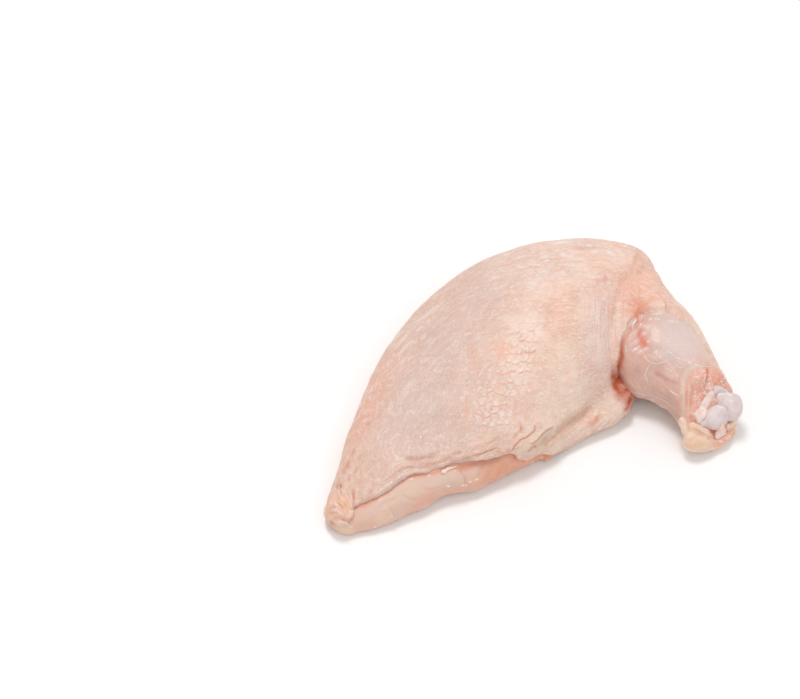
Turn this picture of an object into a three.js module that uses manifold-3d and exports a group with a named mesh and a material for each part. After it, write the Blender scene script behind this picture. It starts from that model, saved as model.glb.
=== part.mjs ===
// A raw chicken supreme: half a breast in its skin, with the first joint of the wing left on.
// It lies skin side up on its flat inner face. Millimetres, +Z up: +X runs along the breast from its
// pointed tip to the shoulder, the keel side faces +Y, and the wing joint reaches out towards -Y.
// All places below are measured from the tip, and the finished part is moved over its own middle.
import * as THREE from "three";
import { mergeVertices } from "three/addons/utils/BufferGeometryUtils.js";
import Module from "manifold-3d";

const wasm = await Module();
wasm.setup();

// Driving dimensions

const SKIN = 1.9; // the skin with the fat under it
const GAP = 0.35; // clearance between pieces that touch
const SUNK = -1.5; // the skin's form starts this far inside the flesh, which is then cut out of it
const SKIN_CLEAR_OF_BOARD = 0.8; // the flesh rests on the board, the skin ends just above it
const BELOW_BOARD = 2; // the forms reach this far below the board, which then cuts them flat
const FAR = 300; // larger than the whole object
const WELD = 1e-3; // vertices closer than this are one

// The breast's flesh: at each station from the tip to the shoulder, the keel side's edge, the crest and
// the rib side's edge. The first and last stations are points.
const BREAST = [
  { keel: [-3, 0], crest: [-3, 0, 5], rib: [-3, 0] },
  { keel: [1, 6], crest: [1.5, 1, 8.5], rib: [2, -6] },
  { keel: [17, 14.5], crest: [17, 2.5, 13], rib: [18.5, -16.5] },
  { keel: [41.5, 27], crest: [42, 5, 19.5], rib: [44, -26.5] },
  { keel: [69, 37.5], crest: [69, 7, 27], rib: [70.5, -36.5] },
  { keel: [95, 42], crest: [94.5, 7, 32], rib: [94, -36.5] },
  { keel: [119, 41], crest: [118, 3.5, 35], rib: [112, -38] },
  { keel: [139, 33.5], crest: [138, -3.5, 34.5], rib: [127, -33] },
  { keel: [156, 20.5], crest: [154, -7.5, 31.5], rib: [145, -27] },
  { keel: [167.5, 5.5], crest: [166, -10, 26.5], rib: [161, -22] },
  { keel: [172.5, -10], crest: [172.5, -10, 9.5], rib: [172.5, -10] },
];
const KEEL_SIDE_LEVEL = 10; // height of the widest level on the keel side
const RIB_SIDE_LEVEL = 6;
const END_LENGTH = 0.08; // share of the length over which each end opens out of its point
const RAGGED_END = { at: [79.5, -37.5, 3], radii: [3.2, 2, 1.4], turn: [0, 0, -25] }; // on the rib side

// The wing joint's flesh round the bone, from inside the shoulder to past the elbow: the middle of each
// section, half its width and half its height. The first and last stations are points.
const WING = [
  { at: [147, 3, 14], wide: 0, tall: 0 },
  { at: [147.5, -11, 15], wide: 19, tall: 12 },
  { at: [145, -26, 17], wide: 19.5, tall: 14 },
  { at: [138.5, -42, 17], wide: 18.5, tall: 13.8 },
  { at: [136, -56, 15.5], wide: 14.5, tall: 12.2 },
  { at: [132.5, -68, 14.2], wide: 12, tall: 11 },
  { at: [129.5, -78, 13], wide: 12.5, tall: 9.5 },
  { at: [128, -85, 11.5], wide: 10.5, tall: 8 },
  { at: [127, -89.5, 10.5], wide: 0, tall: 0 },
];
const LOBE_GROOVE = { from: 0.36, to: 0.2, width: 0.055, depth: 1.5 }; // between its two muscles

// The oblique cut through the elbow, and the hollow in it
const ELBOW_CUT = { at: [132, -74.5, 14], normal: [-0.15, -0.74, 0.65] };
const HOLLOW = { at: [133, -72.5, 17], radii: [9, 7.5, 9.5], turn: [-40, 0, 0] };

// The bone: its shaft, and at the elbow two knobs of white cartilage and a thin cap behind them
const SHAFT = {
  path: [[134.5, -77, 12], [135, -68, 13.5], [139, -50, 15.5], [144, -28, 16.5]],
  radii: [3.2, 3.2, 3.2, 3.2],
  blunt: 0.15,
};
const KNOBS = [
  { at: [139.2, -78.8, 12.2], radii: [5.8, 5.4, 6.2], turn: [20, 0, 20] },
  { at: [131, -77.2, 11.6], radii: [6, 4.6, 4.8], turn: [0, 10, -20] },
  { at: [139.3, -73.6, 16.9], radii: [3.6, 1.7, 2], turn: [0, 30, -20] },
];

// The tendon's squarish stump and the ligament's end beside the knobs
const TENDON = {
  path: [[128, -70.5, 10], [126.5, -73, 13.5], [125.5, -74.8, 16]],
  radii: [2.9, 2.9, 2.9],
  blunt: 0.25,
  flatten: 0.6,
};
const LIGAMENT = {
  path: [[132.5, -77.5, 4.5], [131, -80.5, 6.5], [129, -82.5, 7]],
  radii: [2.2, 2.2, 2.2],
  blunt: 0.25,
  flatten: 0.6,
};

// How far along and round each form its skin reaches. The breast's runs from under the keel side to an
// edge above the meat on the rib side, the wing's from underneath to its top. An edge is given as
// [along, around] steps, and the breast's waves a little.
const BREAST_SKIN = {
  along: [0.03, 0.985],
  from: -0.09,
  edge: [[0.03, 0.3], [0.1, 0.31], [0.22, 0.34], [0.27, 0.36], [0.34, 0.42], [0.43, 0.455], [0.5, 0.52],
    [0.65, 0.55], [1, 0.5]],
  wave: 0.008,
  waveRate: 40,
};
const WING_SKIN = {
  along: [0.1, 0.93],
  from: -0.43,
  edge: [[0, 0.45], [0.26, 0.4], [0.31, 0.27], [0.41, 0.06], [1, 0.02]],
  wave: 0,
  waveRate: 0,
};

// Loose skin: the roll below the armpit, the gathered folds at the tip and the lip round the elbow's cut
const ARMPIT_ROLL = {
  path: [[78, -34.5, 4], [90, -36.5, 4.5], [101, -39, 5.5], [111, -41.5, 6.5], [121, -43, 7.5]],
  radii: [2, 4, 5, 6, 6.5],
  blunt: 0.35,
};
const TIP_FOLDS = [
  { path: [[-3, 7, 4], [2, 3, 9], [8, -1, 9.5], [11, -4, 8]], radii: [2.5, 3, 3, 2], blunt: 0.4 },
  { path: [[-4, 1, 4], [0, -2, 8], [5, -4, 8.5]], radii: [2.5, 3, 2.5], blunt: 0.4 },
];
const ELBOW_LIP = {
  path: [[119, -67, 11], [118.5, -73, 7], [121.5, -78, 4.2], [128, -82, 3.8], [135.5, -83, 5.5], [141, -80, 9]],
  radii: [1.8, 2.4, 2.8, 2.6, 2.4, 1.8],
  blunt: 0.4,
  flatten: 0.8,
};

// Facets along and round each form
const BREAST_STEPS = [44, 32];
const BREAST_SKIN_STEPS = [42, 24];
const WING_STEPS = [30, 24];
const WING_SKIN_STEPS = [22, 14];
const ROLL_STEPS = [13, 9];
const BALL_STEPS = [14, 10];

// Closed geometry

const vector = (numbers) => new THREE.Vector3(...numbers);
const mix = THREE.MathUtils.lerp;
const smooth = THREE.MathUtils.smoothstep;
const down = new THREE.Vector3(0, 0, -1);

// Leaves only positions, joins the vertices that coincide and drops the triangles that collapse.
function weld(geometry) {
  geometry.deleteAttribute("normal");
  geometry.deleteAttribute("uv");
  const merged = mergeVertices(geometry, WELD);
  const corners = merged.index.array;
  const kept = [];
  for (let i = 0; i < corners.length; i += 3) {
    const [a, b, c] = [corners[i], corners[i + 1], corners[i + 2]];
    if (a !== b && b !== c && c !== a) kept.push(a, b, c);
  }
  merged.setIndex(kept);
  return merged;
}

function solid(geometry) {
  const welded = weld(geometry);
  return new wasm.Manifold(
    new wasm.Mesh({
      numProp: 3,
      vertProperties: new Float32Array(welded.getAttribute("position").array),
      triVerts: new Uint32Array(welded.index.array),
    }),
  );
}

// A closed form round a line: place(along, around) gives its points, and all the points at along 0 and
// at along 1 are one.
function loft([alongSteps, aroundSteps], place) {
  const geometry = new THREE.SphereGeometry(1, aroundSteps, alongSteps);
  const position = geometry.getAttribute("position");
  const uv = geometry.getAttribute("uv");
  for (let i = 0; i < position.count; i++) {
    const point = place(1 - uv.getY(i), 1 - uv.getX(i));
    position.setXYZ(i, point.x, point.y, point.z);
  }
  return solid(geometry);
}

// A closed curved slab: place(along, around, depth) gives its points, with depth 0 inside and 1 outside.
function slab([alongSteps, aroundSteps], place) {
  const geometry = new THREE.BoxGeometry(1, 1, 1, alongSteps, aroundSteps, 1);
  const position = geometry.getAttribute("position");
  for (let i = 0; i < position.count; i++) {
    const point = place(position.getX(i) + 0.5, 0.5 - position.getY(i), position.getZ(i) + 0.5);
    position.setXYZ(i, point.x, point.y, point.z);
  }
  return solid(geometry);
}

// A ball stretched to three radii and turned by Euler angles in degrees, with a margin all round
function ball({ at, radii, turn }, margin = 0) {
  const geometry = new THREE.SphereGeometry(1, ...BALL_STEPS);
  const angles = turn.map(THREE.MathUtils.degToRad);
  geometry.scale(...radii.map((radius) => radius + margin));
  geometry.applyMatrix4(new THREE.Matrix4().makeRotationFromEuler(new THREE.Euler(...angles)));
  geometry.translate(...at);
  return solid(geometry);
}

// A roll along a smooth path, with rounded ends that are blunter the smaller its number is
function roll({ path, radii, blunt, flatten = 1 }, margin = 0) {
  const curve = new THREE.CatmullRomCurve3(path.map(vector));
  const radius = rail(radii, (value) => [value, 0]);
  return loft(ROLL_STEPS, (along, around) => {
    const heading = curve.getTangent(along);
    const side = new THREE.Vector3(0, 0, 1).cross(heading).normalize();
    const up = heading.clone().cross(side);
    const size = (radius.getPoint(along).x + margin) * (4 * along * (1 - along)) ** blunt;
    const turn = around * 2 * Math.PI;
    return curve
      .getPoint(along)
      .addScaledVector(side, size * Math.cos(turn))
      .addScaledVector(up, size * flatten * Math.sin(turn));
  });
}

// Everything beyond a plane, as a large box
function beyond(point, normal) {
  const geometry = new THREE.BoxGeometry(2 * FAR, 2 * FAR, FAR);
  geometry.translate(0, 0, FAR / 2);
  geometry.applyQuaternion(new THREE.Quaternion().setFromUnitVectors(new THREE.Vector3(0, 0, 1), normal));
  geometry.translate(point.x, point.y, point.z);
  return solid(geometry);
}

// A smooth curve through one value or point of each station
function rail(stations, pick) {
  const points = stations.map((station) => {
    const [x, y, z = 0] = pick(station);
    return new THREE.Vector3(x, y, z);
  });
  return new THREE.CatmullRomCurve3(points, false, "catmullrom", 0.5);
}

// The point that lies a distance outside a surface, and at its two end points straight ahead
function outside(surface, along, around, distance) {
  const step = 2e-3;
  const near = THREE.MathUtils.clamp(along, 4 * step, 1 - 4 * step);
  const point = surface(along, around);
  if (along < step || along > 1 - step) {
    const middle = surface(near, 0).lerp(surface(near, 0.5), 0.5);
    return point.add(point.clone().sub(middle).setLength(distance));
  }
  const forward = surface(near + step, around).sub(surface(near - step, around));
  const sideways = surface(near, around + step).sub(surface(near, around - step));
  return point.addScaledVector(sideways.cross(forward).normalize(), distance);
}

// A value that eases from step to step of a table of [along, value] pairs
function eased(table, along) {
  const next = Math.max(1, table.findIndex(([at]) => at >= along));
  const [from, low] = table[next - 1];
  const [to, high] = table[next];
  return mix(low, high, smooth(along, from, to));
}

// The two forms of the flesh

const keelRail = rail(BREAST, (station) => station.keel);
const crestRail = rail(BREAST, (station) => station.crest);
const ribRail = rail(BREAST, (station) => station.rib);

// A point of the breast's flesh. around 0 is the keel side's edge, 0.25 the crest, 0.5 the rib side's
// edge and 0.75 the middle of the flat inner face.
function breastPoint(along, around) {
  const keel = keelRail.getPoint(along);
  const crest = crestRail.getPoint(along);
  const rib = ribRail.getPoint(along);
  const turn = around * 2 * Math.PI;
  const across = Math.cos(turn);
  const up = Math.sin(turn);
  const side = across > 0 ? keel : rib;
  const x = mix(crest.x, side.x, Math.abs(across));
  const y = mix(crest.y, side.y, Math.abs(across));
  const opened = Math.sqrt(smooth(Math.min(along, 1 - along), 0, END_LENGTH));
  const widest = Math.min(mix(RIB_SIDE_LEVEL, KEEL_SIDE_LEVEL, (across + 1) / 2), crest.z * 0.8);
  const level = mix(crest.z, widest, opened);
  const sunk = opened * Math.min(1, 1.2 * Math.abs(up) ** 0.7);
  const z = up > 0 ? mix(level, crest.z, up ** 0.95) : mix(level, -BELOW_BOARD, sunk);
  return new THREE.Vector3(x, y, z);
}

const wingAxis = rail(WING, (station) => station.at);
const wingSize = rail(WING, (station) => [station.wide, station.tall]);

// A point of the wing's flesh. around 0 is the outer side, 0.25 the top and 0.5 the side that faces
// the breast's tip.
function wingPoint(along, around) {
  const heading = wingAxis.getTangent(along);
  const side = new THREE.Vector3(-heading.y, heading.x, 0).normalize();
  const size = wingSize.getPoint(along);
  const turn = around * 2 * Math.PI;
  const fromGroove = (around - mix(LOBE_GROOVE.from, LOBE_GROOVE.to, along)) / LOBE_GROOVE.width;
  const groove = LOBE_GROOVE.depth * Math.exp(-(fromGroove ** 2)) * smooth(size.x, 4, 14);
  return wingAxis
    .getPoint(along)
    .addScaledVector(side, Math.max(0, size.x - groove) * Math.cos(turn))
    .addScaledVector(down, -Math.max(0, size.y - groove) * Math.sin(turn));
}

// Sub-parts

const board = beyond(new THREE.Vector3(), down);
const justAboveBoard = beyond(new THREE.Vector3(0, 0, SKIN_CLEAR_OF_BOARD), down);
const beyondElbow = beyond(vector(ELBOW_CUT.at), vector(ELBOW_CUT.normal).normalize());
const breastRoom = loft(BREAST_STEPS, (along, around) => outside(breastPoint, along, around, GAP));
const wingRoom = loft(WING_STEPS, (along, around) => outside(wingPoint, along, around, GAP));

function breastMeat() {
  return loft(BREAST_STEPS, breastPoint).add(ball(RAGGED_END)).subtract(board);
}

function wingBone(margin = 0) {
  return wasm.Manifold.union([roll(SHAFT, margin), ...KNOBS.map((knob) => ball(knob, margin))]);
}

function wingMeat() {
  return loft(WING_STEPS, wingPoint)
    .subtract(breastRoom)
    .subtract(beyondElbow)
    .subtract(ball(HOLLOW))
    .subtract(wingBone(GAP))
    .subtract(roll(TENDON, GAP))
    .subtract(roll(LIGAMENT, GAP));
}

function skinOver(surface, steps, { along: [start, end], from, edge, wave, waveRate }) {
  return slab(steps, (u, v, depth) => {
    const along = mix(start, end, u);
    const around = mix(from, eased(edge, along) + wave * Math.sin(along * waveRate), v);
    return outside(surface, along, around, mix(SUNK, GAP + SKIN, depth));
  });
}

function skin() {
  const loose = [ARMPIT_ROLL, ...TIP_FOLDS, ELBOW_LIP].map((fold) => roll(fold));
  const breastSkin = skinOver(breastPoint, BREAST_SKIN_STEPS, BREAST_SKIN);
  const wingSkin = skinOver(wingPoint, WING_SKIN_STEPS, WING_SKIN).subtract(beyondElbow);
  return wasm.Manifold.union([breastSkin, wingSkin, ...loose])
    .subtract(breastRoom)
    .subtract(wingRoom)
    .subtract(wingBone(GAP))
    .subtract(roll(TENDON, GAP))
    .subtract(roll(LIGAMENT, GAP))
    .subtract(justAboveBoard);
}

const pieces = new THREE.Group();

function add(name, made, color, roughness) {
  const { vertProperties, triVerts } = made.getMesh();
  const geometry = new THREE.BufferGeometry();
  geometry.setAttribute("position", new THREE.BufferAttribute(vertProperties, 3));
  geometry.setIndex(new THREE.BufferAttribute(triVerts, 1));
  geometry.computeVertexNormals();
  const mesh = new THREE.Mesh(geometry, new THREE.MeshStandardMaterial({ color, roughness }));
  mesh.name = name;
  pieces.add(mesh);
}

add("breast_meat", breastMeat(), 0xe3b49c, 0.35);
add("wing_meat", wingMeat(), 0xdcae9f, 0.3);
add("skin", skin(), 0xe6c8b8, 0.45);
add("wing_bone", wingBone(), 0xe2dad9, 0.25);
add("elbow_tendon", roll(TENDON).subtract(wingBone(GAP)), 0xe9d5cc, 0.3);
add("elbow_ligament", roll(LIGAMENT).subtract(wingBone(GAP)), 0xeed9cc, 0.32);

// Its box stands over the origin, on z = 0.
const middle = new THREE.Box3().setFromObject(pieces).getCenter(new THREE.Vector3());
pieces.position.set(-middle.x, -middle.y, 0);
const group = new THREE.Group();
group.add(pieces);

export default group;
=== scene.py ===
import math

import bpy
import numpy as np
from mathutils import Matrix, Vector
from mathutils.bvhtree import BVHTree


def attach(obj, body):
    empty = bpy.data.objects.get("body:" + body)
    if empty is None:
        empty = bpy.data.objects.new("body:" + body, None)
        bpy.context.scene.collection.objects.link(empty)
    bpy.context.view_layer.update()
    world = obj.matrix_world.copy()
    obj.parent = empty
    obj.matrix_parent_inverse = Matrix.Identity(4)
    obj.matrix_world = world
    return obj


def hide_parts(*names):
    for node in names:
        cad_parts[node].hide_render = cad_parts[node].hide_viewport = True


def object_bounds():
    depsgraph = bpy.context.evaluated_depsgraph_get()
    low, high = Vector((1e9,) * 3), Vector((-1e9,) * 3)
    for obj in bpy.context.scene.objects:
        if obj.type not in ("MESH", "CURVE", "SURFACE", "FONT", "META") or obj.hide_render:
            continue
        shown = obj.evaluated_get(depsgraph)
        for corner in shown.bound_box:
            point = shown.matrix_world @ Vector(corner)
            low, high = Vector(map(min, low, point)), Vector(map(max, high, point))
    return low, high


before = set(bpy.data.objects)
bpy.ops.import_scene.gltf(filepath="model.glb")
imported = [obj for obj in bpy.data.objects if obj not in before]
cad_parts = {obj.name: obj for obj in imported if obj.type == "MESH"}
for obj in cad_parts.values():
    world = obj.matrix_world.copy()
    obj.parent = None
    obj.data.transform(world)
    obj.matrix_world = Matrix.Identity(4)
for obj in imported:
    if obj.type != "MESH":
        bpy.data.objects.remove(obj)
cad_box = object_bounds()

MM = 0.001

# ---------------------------------------------------------------- the camera

PICTURE = (800, 699)
LENS = 85.0
SENSOR = 36.0
AZIMUTH = math.radians(-47.1)
ELEVATION = math.radians(50.0)
DISTANCE = 772.0
AIM = np.array((-4.3, 63.3, 0.0))

BACK = np.array((
    math.sin(AZIMUTH) * math.cos(ELEVATION),
    -math.cos(AZIMUTH) * math.cos(ELEVATION),
    math.sin(ELEVATION),
))
RIGHT = np.array((math.cos(AZIMUTH), math.sin(AZIMUTH), 0.0))
UP = np.cross(BACK, RIGHT)
NEAR = np.array((-UP[0], -UP[1], 0.0)) / np.hypot(UP[0], UP[1])
EYE = AIM + BACK * DISTANCE
PIXELS = LENS / SENSOR * PICTURE[0]
PX_PER_MM = 2.57


def set_camera():
    """A plain camera at the angle that the wing joint and the breast are seen from."""
    data = bpy.data.cameras.new("photo_camera")
    data.lens = LENS
    data.sensor_width = SENSOR
    data.clip_start = 0.01
    data.clip_end = 20
    camera = bpy.data.objects.new("photo_camera", data)
    bpy.context.scene.collection.objects.link(camera)
    turn = Matrix((RIGHT, UP, BACK)).transposed().to_4x4()
    camera.matrix_world = Matrix.Translation(EYE * MM) @ turn
    bpy.context.scene.camera = camera


def picture_of(points):
    """Where points, in millimetres, come in the picture, in pixels."""
    ray = points - EYE
    scale = PIXELS / -(ray @ BACK)
    x = PICTURE[0] / 2 + scale * (ray @ RIGHT)
    y = PICTURE[1] / 2 - scale * (ray @ UP)
    return np.stack([x, y], 1)


def sight_line(px, py):
    """The direction in which the camera sees a pixel."""
    ray = RIGHT * (px - PICTURE[0] / 2) / PIXELS + UP * (PICTURE[1] / 2 - py) / PIXELS - BACK
    return ray / np.linalg.norm(ray)


# ---------------------------------------------------------------- noise, lines and falloffs

# Large factors that stir whole numbers, and how many low bits are kept of them.
STIR_X, STIR_Y, STIR_Z, STIR_SEED, STIR_AGAIN = 374761393, 668265263, 2147483647, 1274126177, 1103515245
KEPT_BITS = 0xFFFFFFFF
ANSWER_BITS = 0xFFFF


def scatter(cells, seed):
    """A fixed number from -1 to 1 for each whole cell."""
    x, y, z = (cells[:, k].astype(np.int64) for k in range(3))
    h = (x * STIR_X + y * STIR_Y + z * STIR_Z + seed * STIR_SEED) & KEPT_BITS
    h = ((h ^ (h >> 13)) * STIR_AGAIN) & KEPT_BITS
    h = ((h ^ (h >> 16)) * STIR_Y) & KEPT_BITS
    return ((h ^ (h >> 15)) & ANSWER_BITS) / (ANSWER_BITS / 2) - 1.0


def lumps(points, seed):
    """Smooth noise with one lump to a unit."""
    base = np.floor(points)
    part = points - base
    part = part * part * (3 - 2 * part)
    total = np.zeros(len(points))
    for dx in (0, 1):
        for dy in (0, 1):
            for dz in (0, 1):
                corner = np.array((dx, dy, dz))
                weight = np.prod(np.where(corner, part, 1 - part), axis=1)
                total += weight * scatter(base + corner, seed)
    return total


OCTAVE_SHIFT = 17.3
NOISE_REACH = 1.6


def rough(points, octaves, seed):
    """Noise with finer noise on it, mostly from -1 to 1."""
    total, size = np.zeros(len(points)), 1.0
    for k in range(octaves):
        total += lumps(points / size + OCTAVE_SHIFT * k, seed + k) * size
        size *= 0.5
    return total / NOISE_REACH


def rough_over(across, down, octaves, seed, level=0.0):
    """Noise over two measures of each point."""
    return rough(np.stack([across, down, np.full(len(across), level)], 1), octaves, seed)


def step(low, high, value):
    """0 below low, 1 above high and smooth between them."""
    t = np.clip((value - low) / (high - low), 0, 1)
    return t * t * (3 - 2 * t)


def faded(share, ends):
    """1 along a line, falling to 0 over a share of it at both ends."""
    return np.clip(np.minimum(share, 1 - share) / ends, 0, 1) ** 0.5


def drawn(path, spacing=1.5):
    """A smooth line through pixels, as close points."""
    p = np.array(path, float)
    if len(p) < 3:
        n = max(2, int(np.hypot(*(p[-1] - p[0])) / spacing))
        t = np.linspace(0, 1, n)[:, None]
        return p[0] * (1 - t) + p[-1] * t
    ends = np.vstack([2 * p[0] - p[1], p, 2 * p[-1] - p[-2]])
    out = []
    for k in range(1, len(ends) - 2):
        a, b, c, d = ends[k - 1:k + 3]
        n = max(2, int(np.linalg.norm(c - b) / spacing))
        t = np.linspace(0, 1, n, endpoint=False)[:, None]
        out.append(0.5 * (2 * b + (c - a) * t + (2 * a - 5 * b + 4 * c - d) * t ** 2
                          + (3 * b - a - 3 * c + d) * t ** 3))
    return np.vstack(out + [p[-1:]])


# ---------------------------------------------------------------- sculpting

def activate(piece):
    """Selects one piece alone."""
    for other in list(bpy.context.selected_objects):
        other.select_set(False)
    piece.select_set(True)
    bpy.context.view_layer.objects.active = piece


def modified(piece, kind, **settings):
    """Adds a modifier and applies it."""
    activate(piece)
    bpy.ops.object.modifier_add(type=kind)
    modifier = piece.modifiers[-1]
    for key, value in settings.items():
        setattr(modifier, key, value)
    bpy.ops.object.modifier_apply(modifier=modifier.name)


def kneaded(piece, grain, rounds):
    """Fused into one even skin of small faces, and smoothed."""
    modified(piece, "REMESH", mode="VOXEL", voxel_size=grain * MM, use_smooth_shade=True)
    modified(piece, "SMOOTH", factor=0.5, iterations=rounds)
    return piece


def blank(node, name, grain, rounds, added):
    """A CAD node's copy fused with added pieces, evenly grained and smoothed, for the sculpting."""
    piece = bpy.data.objects.new(name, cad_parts[node].data.copy())
    bpy.context.scene.collection.objects.link(piece)
    piece.data.materials.clear()
    activate(piece)
    bpy.ops.object.mode_set(mode="EDIT")
    bpy.ops.mesh.select_all(action="SELECT")
    bpy.ops.mesh.remove_doubles(threshold=1e-6)
    bpy.ops.object.mode_set(mode="OBJECT")
    join(piece, added)
    return kneaded(piece, grain, rounds)


def join(piece, others):
    """Makes one mesh of several pieces."""
    activate(piece)
    for other in others:
        other.select_set(True)
    bpy.ops.object.join()


# The plane of the cut at the elbow, with the picture's right and up on it.
CUT_SPOT = np.array((47.3, -54.0, 14.0))
CUT_FACING = np.array((-0.15, -0.74, 0.65)) / np.linalg.norm((-0.15, -0.74, 0.65))
CUT_RIGHT = RIGHT - CUT_FACING * (RIGHT @ CUT_FACING)
CUT_RIGHT = CUT_RIGHT / np.linalg.norm(CUT_RIGHT)
CUT_UP = np.cross(CUT_FACING, CUT_RIGHT)


def on_cut(px, py, lift=0.0):
    """The point on the elbow's cut, or that much in front of it, that shows at a pixel."""
    ray = sight_line(px, py)
    far = ((CUT_SPOT + CUT_FACING * lift - EYE) @ CUT_FACING) / (ray @ CUT_FACING)
    return EYE + ray * far


def pebble(name, centre, size, turn=0.0, square=1.0):
    """A rounded lump: a ball whose points are set out again, boxier where square is under 1."""
    bpy.ops.object.select_all(action="DESELECT")
    bpy.ops.mesh.primitive_uv_sphere_add(segments=24, ring_count=16, radius=1)
    piece = bpy.context.active_object
    piece.name = name
    piece.data.name = name
    p = np.array([v.co for v in piece.data.vertices])
    p = np.sign(p) * np.abs(p) ** square * size
    c, s = math.cos(math.radians(turn)), math.sin(math.radians(turn))
    p = np.stack([p[:, 0] * c - p[:, 1] * s, p[:, 0] * s + p[:, 1] * c, p[:, 2]], 1)
    p = centre + p @ np.array((CUT_RIGHT, CUT_UP, CUT_FACING))
    piece.data.vertices.foreach_set("co", (p * MM).ravel())
    return piece


ROUNDED_END = 0.6


def strand(name, points, radii, sides=10, flat=1.0):
    """A tapering roll or thread through points, closed at both ends."""
    path = np.array(points, float)
    radii = np.interp(np.linspace(0, 1, len(path)), np.linspace(0, 1, len(radii)), radii)
    along = np.gradient(path, axis=0)
    along /= np.linalg.norm(along, axis=1)[:, None]
    side = np.cross(along, BACK)
    side /= np.linalg.norm(side, axis=1)[:, None]
    over = np.cross(side, along)
    rings = []
    for t in np.linspace(0, 2 * math.pi, sides, endpoint=False):
        rings.append(path + radii[:, None] * (side * math.cos(t) + over * math.sin(t) * flat))
    rings = np.stack(rings, 1)
    n = len(path)
    points = np.vstack([rings.reshape(-1, 3), path[:1] - along[:1] * radii[0] * ROUNDED_END,
                        path[-1:] + along[-1:] * radii[-1] * ROUNDED_END])
    faces = []
    for k in range(n - 1):
        for j in range(sides):
            m = (j + 1) % sides
            faces.append((k * sides + j, k * sides + m, (k + 1) * sides + m, (k + 1) * sides + j))
    first, last = n * sides, n * sides + 1
    for j in range(sides):
        m = (j + 1) % sides
        faces.append((first, m, j))
        faces.append((last, (n - 1) * sides + j, (n - 1) * sides + m))
    mesh = bpy.data.meshes.new(name)
    mesh.from_pydata([tuple(p * MM) for p in points], [], faces)
    return facing_out(name, mesh)


DISTANCES_TRIED = range(650, 860, 2)
LEAST_FACING = 0.25


def spot_on(tree, px, py, lift=0.0):
    """The point of the meat that shows at a pixel, or the nearest one to it, and its facing."""
    ray = sight_line(px, py)
    hit, normal = tree.ray_cast(Vector(EYE), Vector(ray))[:2]
    if hit is None:
        passed = [tree.find_nearest(Vector(EYE + ray * far)) for far in DISTANCES_TRIED]
        hit, normal = min(passed, key=lambda found: found[3])[:2]
    facing = np.array(normal)
    if facing @ ray > -LEAST_FACING:
        facing = facing - ray * (facing @ ray + LEAST_FACING)
        facing /= np.linalg.norm(facing)
    return np.array(hit) + facing * lift, facing


def evened(values, inside, rounds):
    """Values on a grid, each drawn towards the mean of its neighbours inside an outline."""
    for _ in range(rounds):
        total, count = values.copy(), np.ones(inside.shape)
        for way, axis in ((1, 0), (-1, 0), (1, 1), (-1, 1)):
            near = np.roll(inside, way, axis)
            total += near[..., None] * np.roll(values, way, axis)
            count += near
        values = np.where(inside[..., None], total / count[..., None], 0)
    return values


THINNEST_SHEET = 0.25


def laid(name, outline, tree, lift, sink=0.1, roll=1.3, spacing=1.3, even=0):
    """A sheet with an outline drawn in the picture, laid on what is under it.

    It lies lift over it, starts sink over it, is rounded down within roll of its border, has a
    point every spacing pixels, and is evened over its neighbours for so many rounds.
    """
    line = drawn(outline + outline[:1])
    low = line.min(0) - spacing
    across, down = ((line.max(0) - low) / spacing).astype(int) + 2
    grid = np.stack(np.meshgrid(np.arange(across), np.arange(down), indexing="ij"), 2).reshape(-1, 2)
    spots = low + grid * spacing
    inside = np.zeros(len(spots), bool)
    gap = np.full(len(spots), 1e9)
    for a, b in zip(line[:-1], line[1:]):
        run = b - a
        passes = (a[1] > spots[:, 1]) != (b[1] > spots[:, 1])
        inside ^= passes & (spots[:, 0] < a[0] + run[0] * (spots[:, 1] - a[1]) / (run[1] or 1e-9))
        t = np.clip(((spots - a) @ run) / max(run @ run, 1e-9), 0, 1)
        gap = np.minimum(gap, np.hypot(*(spots - a - t[:, None] * run).T))
    lies = np.zeros((across, down, 4))
    for k in np.where(inside)[0]:
        spot, facing = spot_on(tree, *spots[k])
        lies[tuple(grid[k])] = np.linalg.norm(spot - EYE), *facing
    calm = evened(lies, inside.reshape(across, down), even)
    points, number = [], {}
    for k in np.where(inside)[0]:
        facing = calm[tuple(grid[k])][1:]
        facing = facing / np.linalg.norm(facing)
        far = min(lies[tuple(grid[k])][0], calm[tuple(grid[k])][0])
        spot = EYE + sight_line(*spots[k]) * far
        rise = max(sink + THINNEST_SHEET, lift * min(1.0, gap[k] / PX_PER_MM / roll) ** 0.5)
        number[tuple(grid[k])] = len(points)
        points += [spot + facing * rise, spot + facing * sink]
    faces, walls = [], {}
    for x, y in list(number):
        ring = [number.get(c) for c in ((x, y), (x + 1, y), (x + 1, y + 1), (x, y + 1))]
        if None in ring:
            continue
        faces.append(tuple(ring))
        faces.append(tuple(i + 1 for i in reversed(ring)))
        for a, b in zip(ring, ring[1:] + ring[:1]):
            if (b, a) in walls:
                del walls[(b, a)]
            else:
                walls[(a, b)] = (b, a, a + 1, b + 1)
    mesh = bpy.data.meshes.new(name)
    mesh.from_pydata([tuple(p * MM) for p in points], [], faces + list(walls.values()))
    return facing_out(name, mesh)


def facing_out(name, mesh):
    """A piece from a mesh, with its faces turned outward and smooth."""
    piece = bpy.data.objects.new(name, mesh)
    bpy.context.scene.collection.objects.link(piece)
    activate(piece)
    bpy.ops.object.mode_set(mode="EDIT")
    bpy.ops.mesh.select_all(action="SELECT")
    bpy.ops.mesh.delete_loose()
    bpy.ops.mesh.select_all(action="SELECT")
    bpy.ops.mesh.normals_make_consistent(inside=False)
    bpy.ops.object.mode_set(mode="OBJECT")
    bpy.ops.object.shade_smooth()
    return piece


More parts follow.
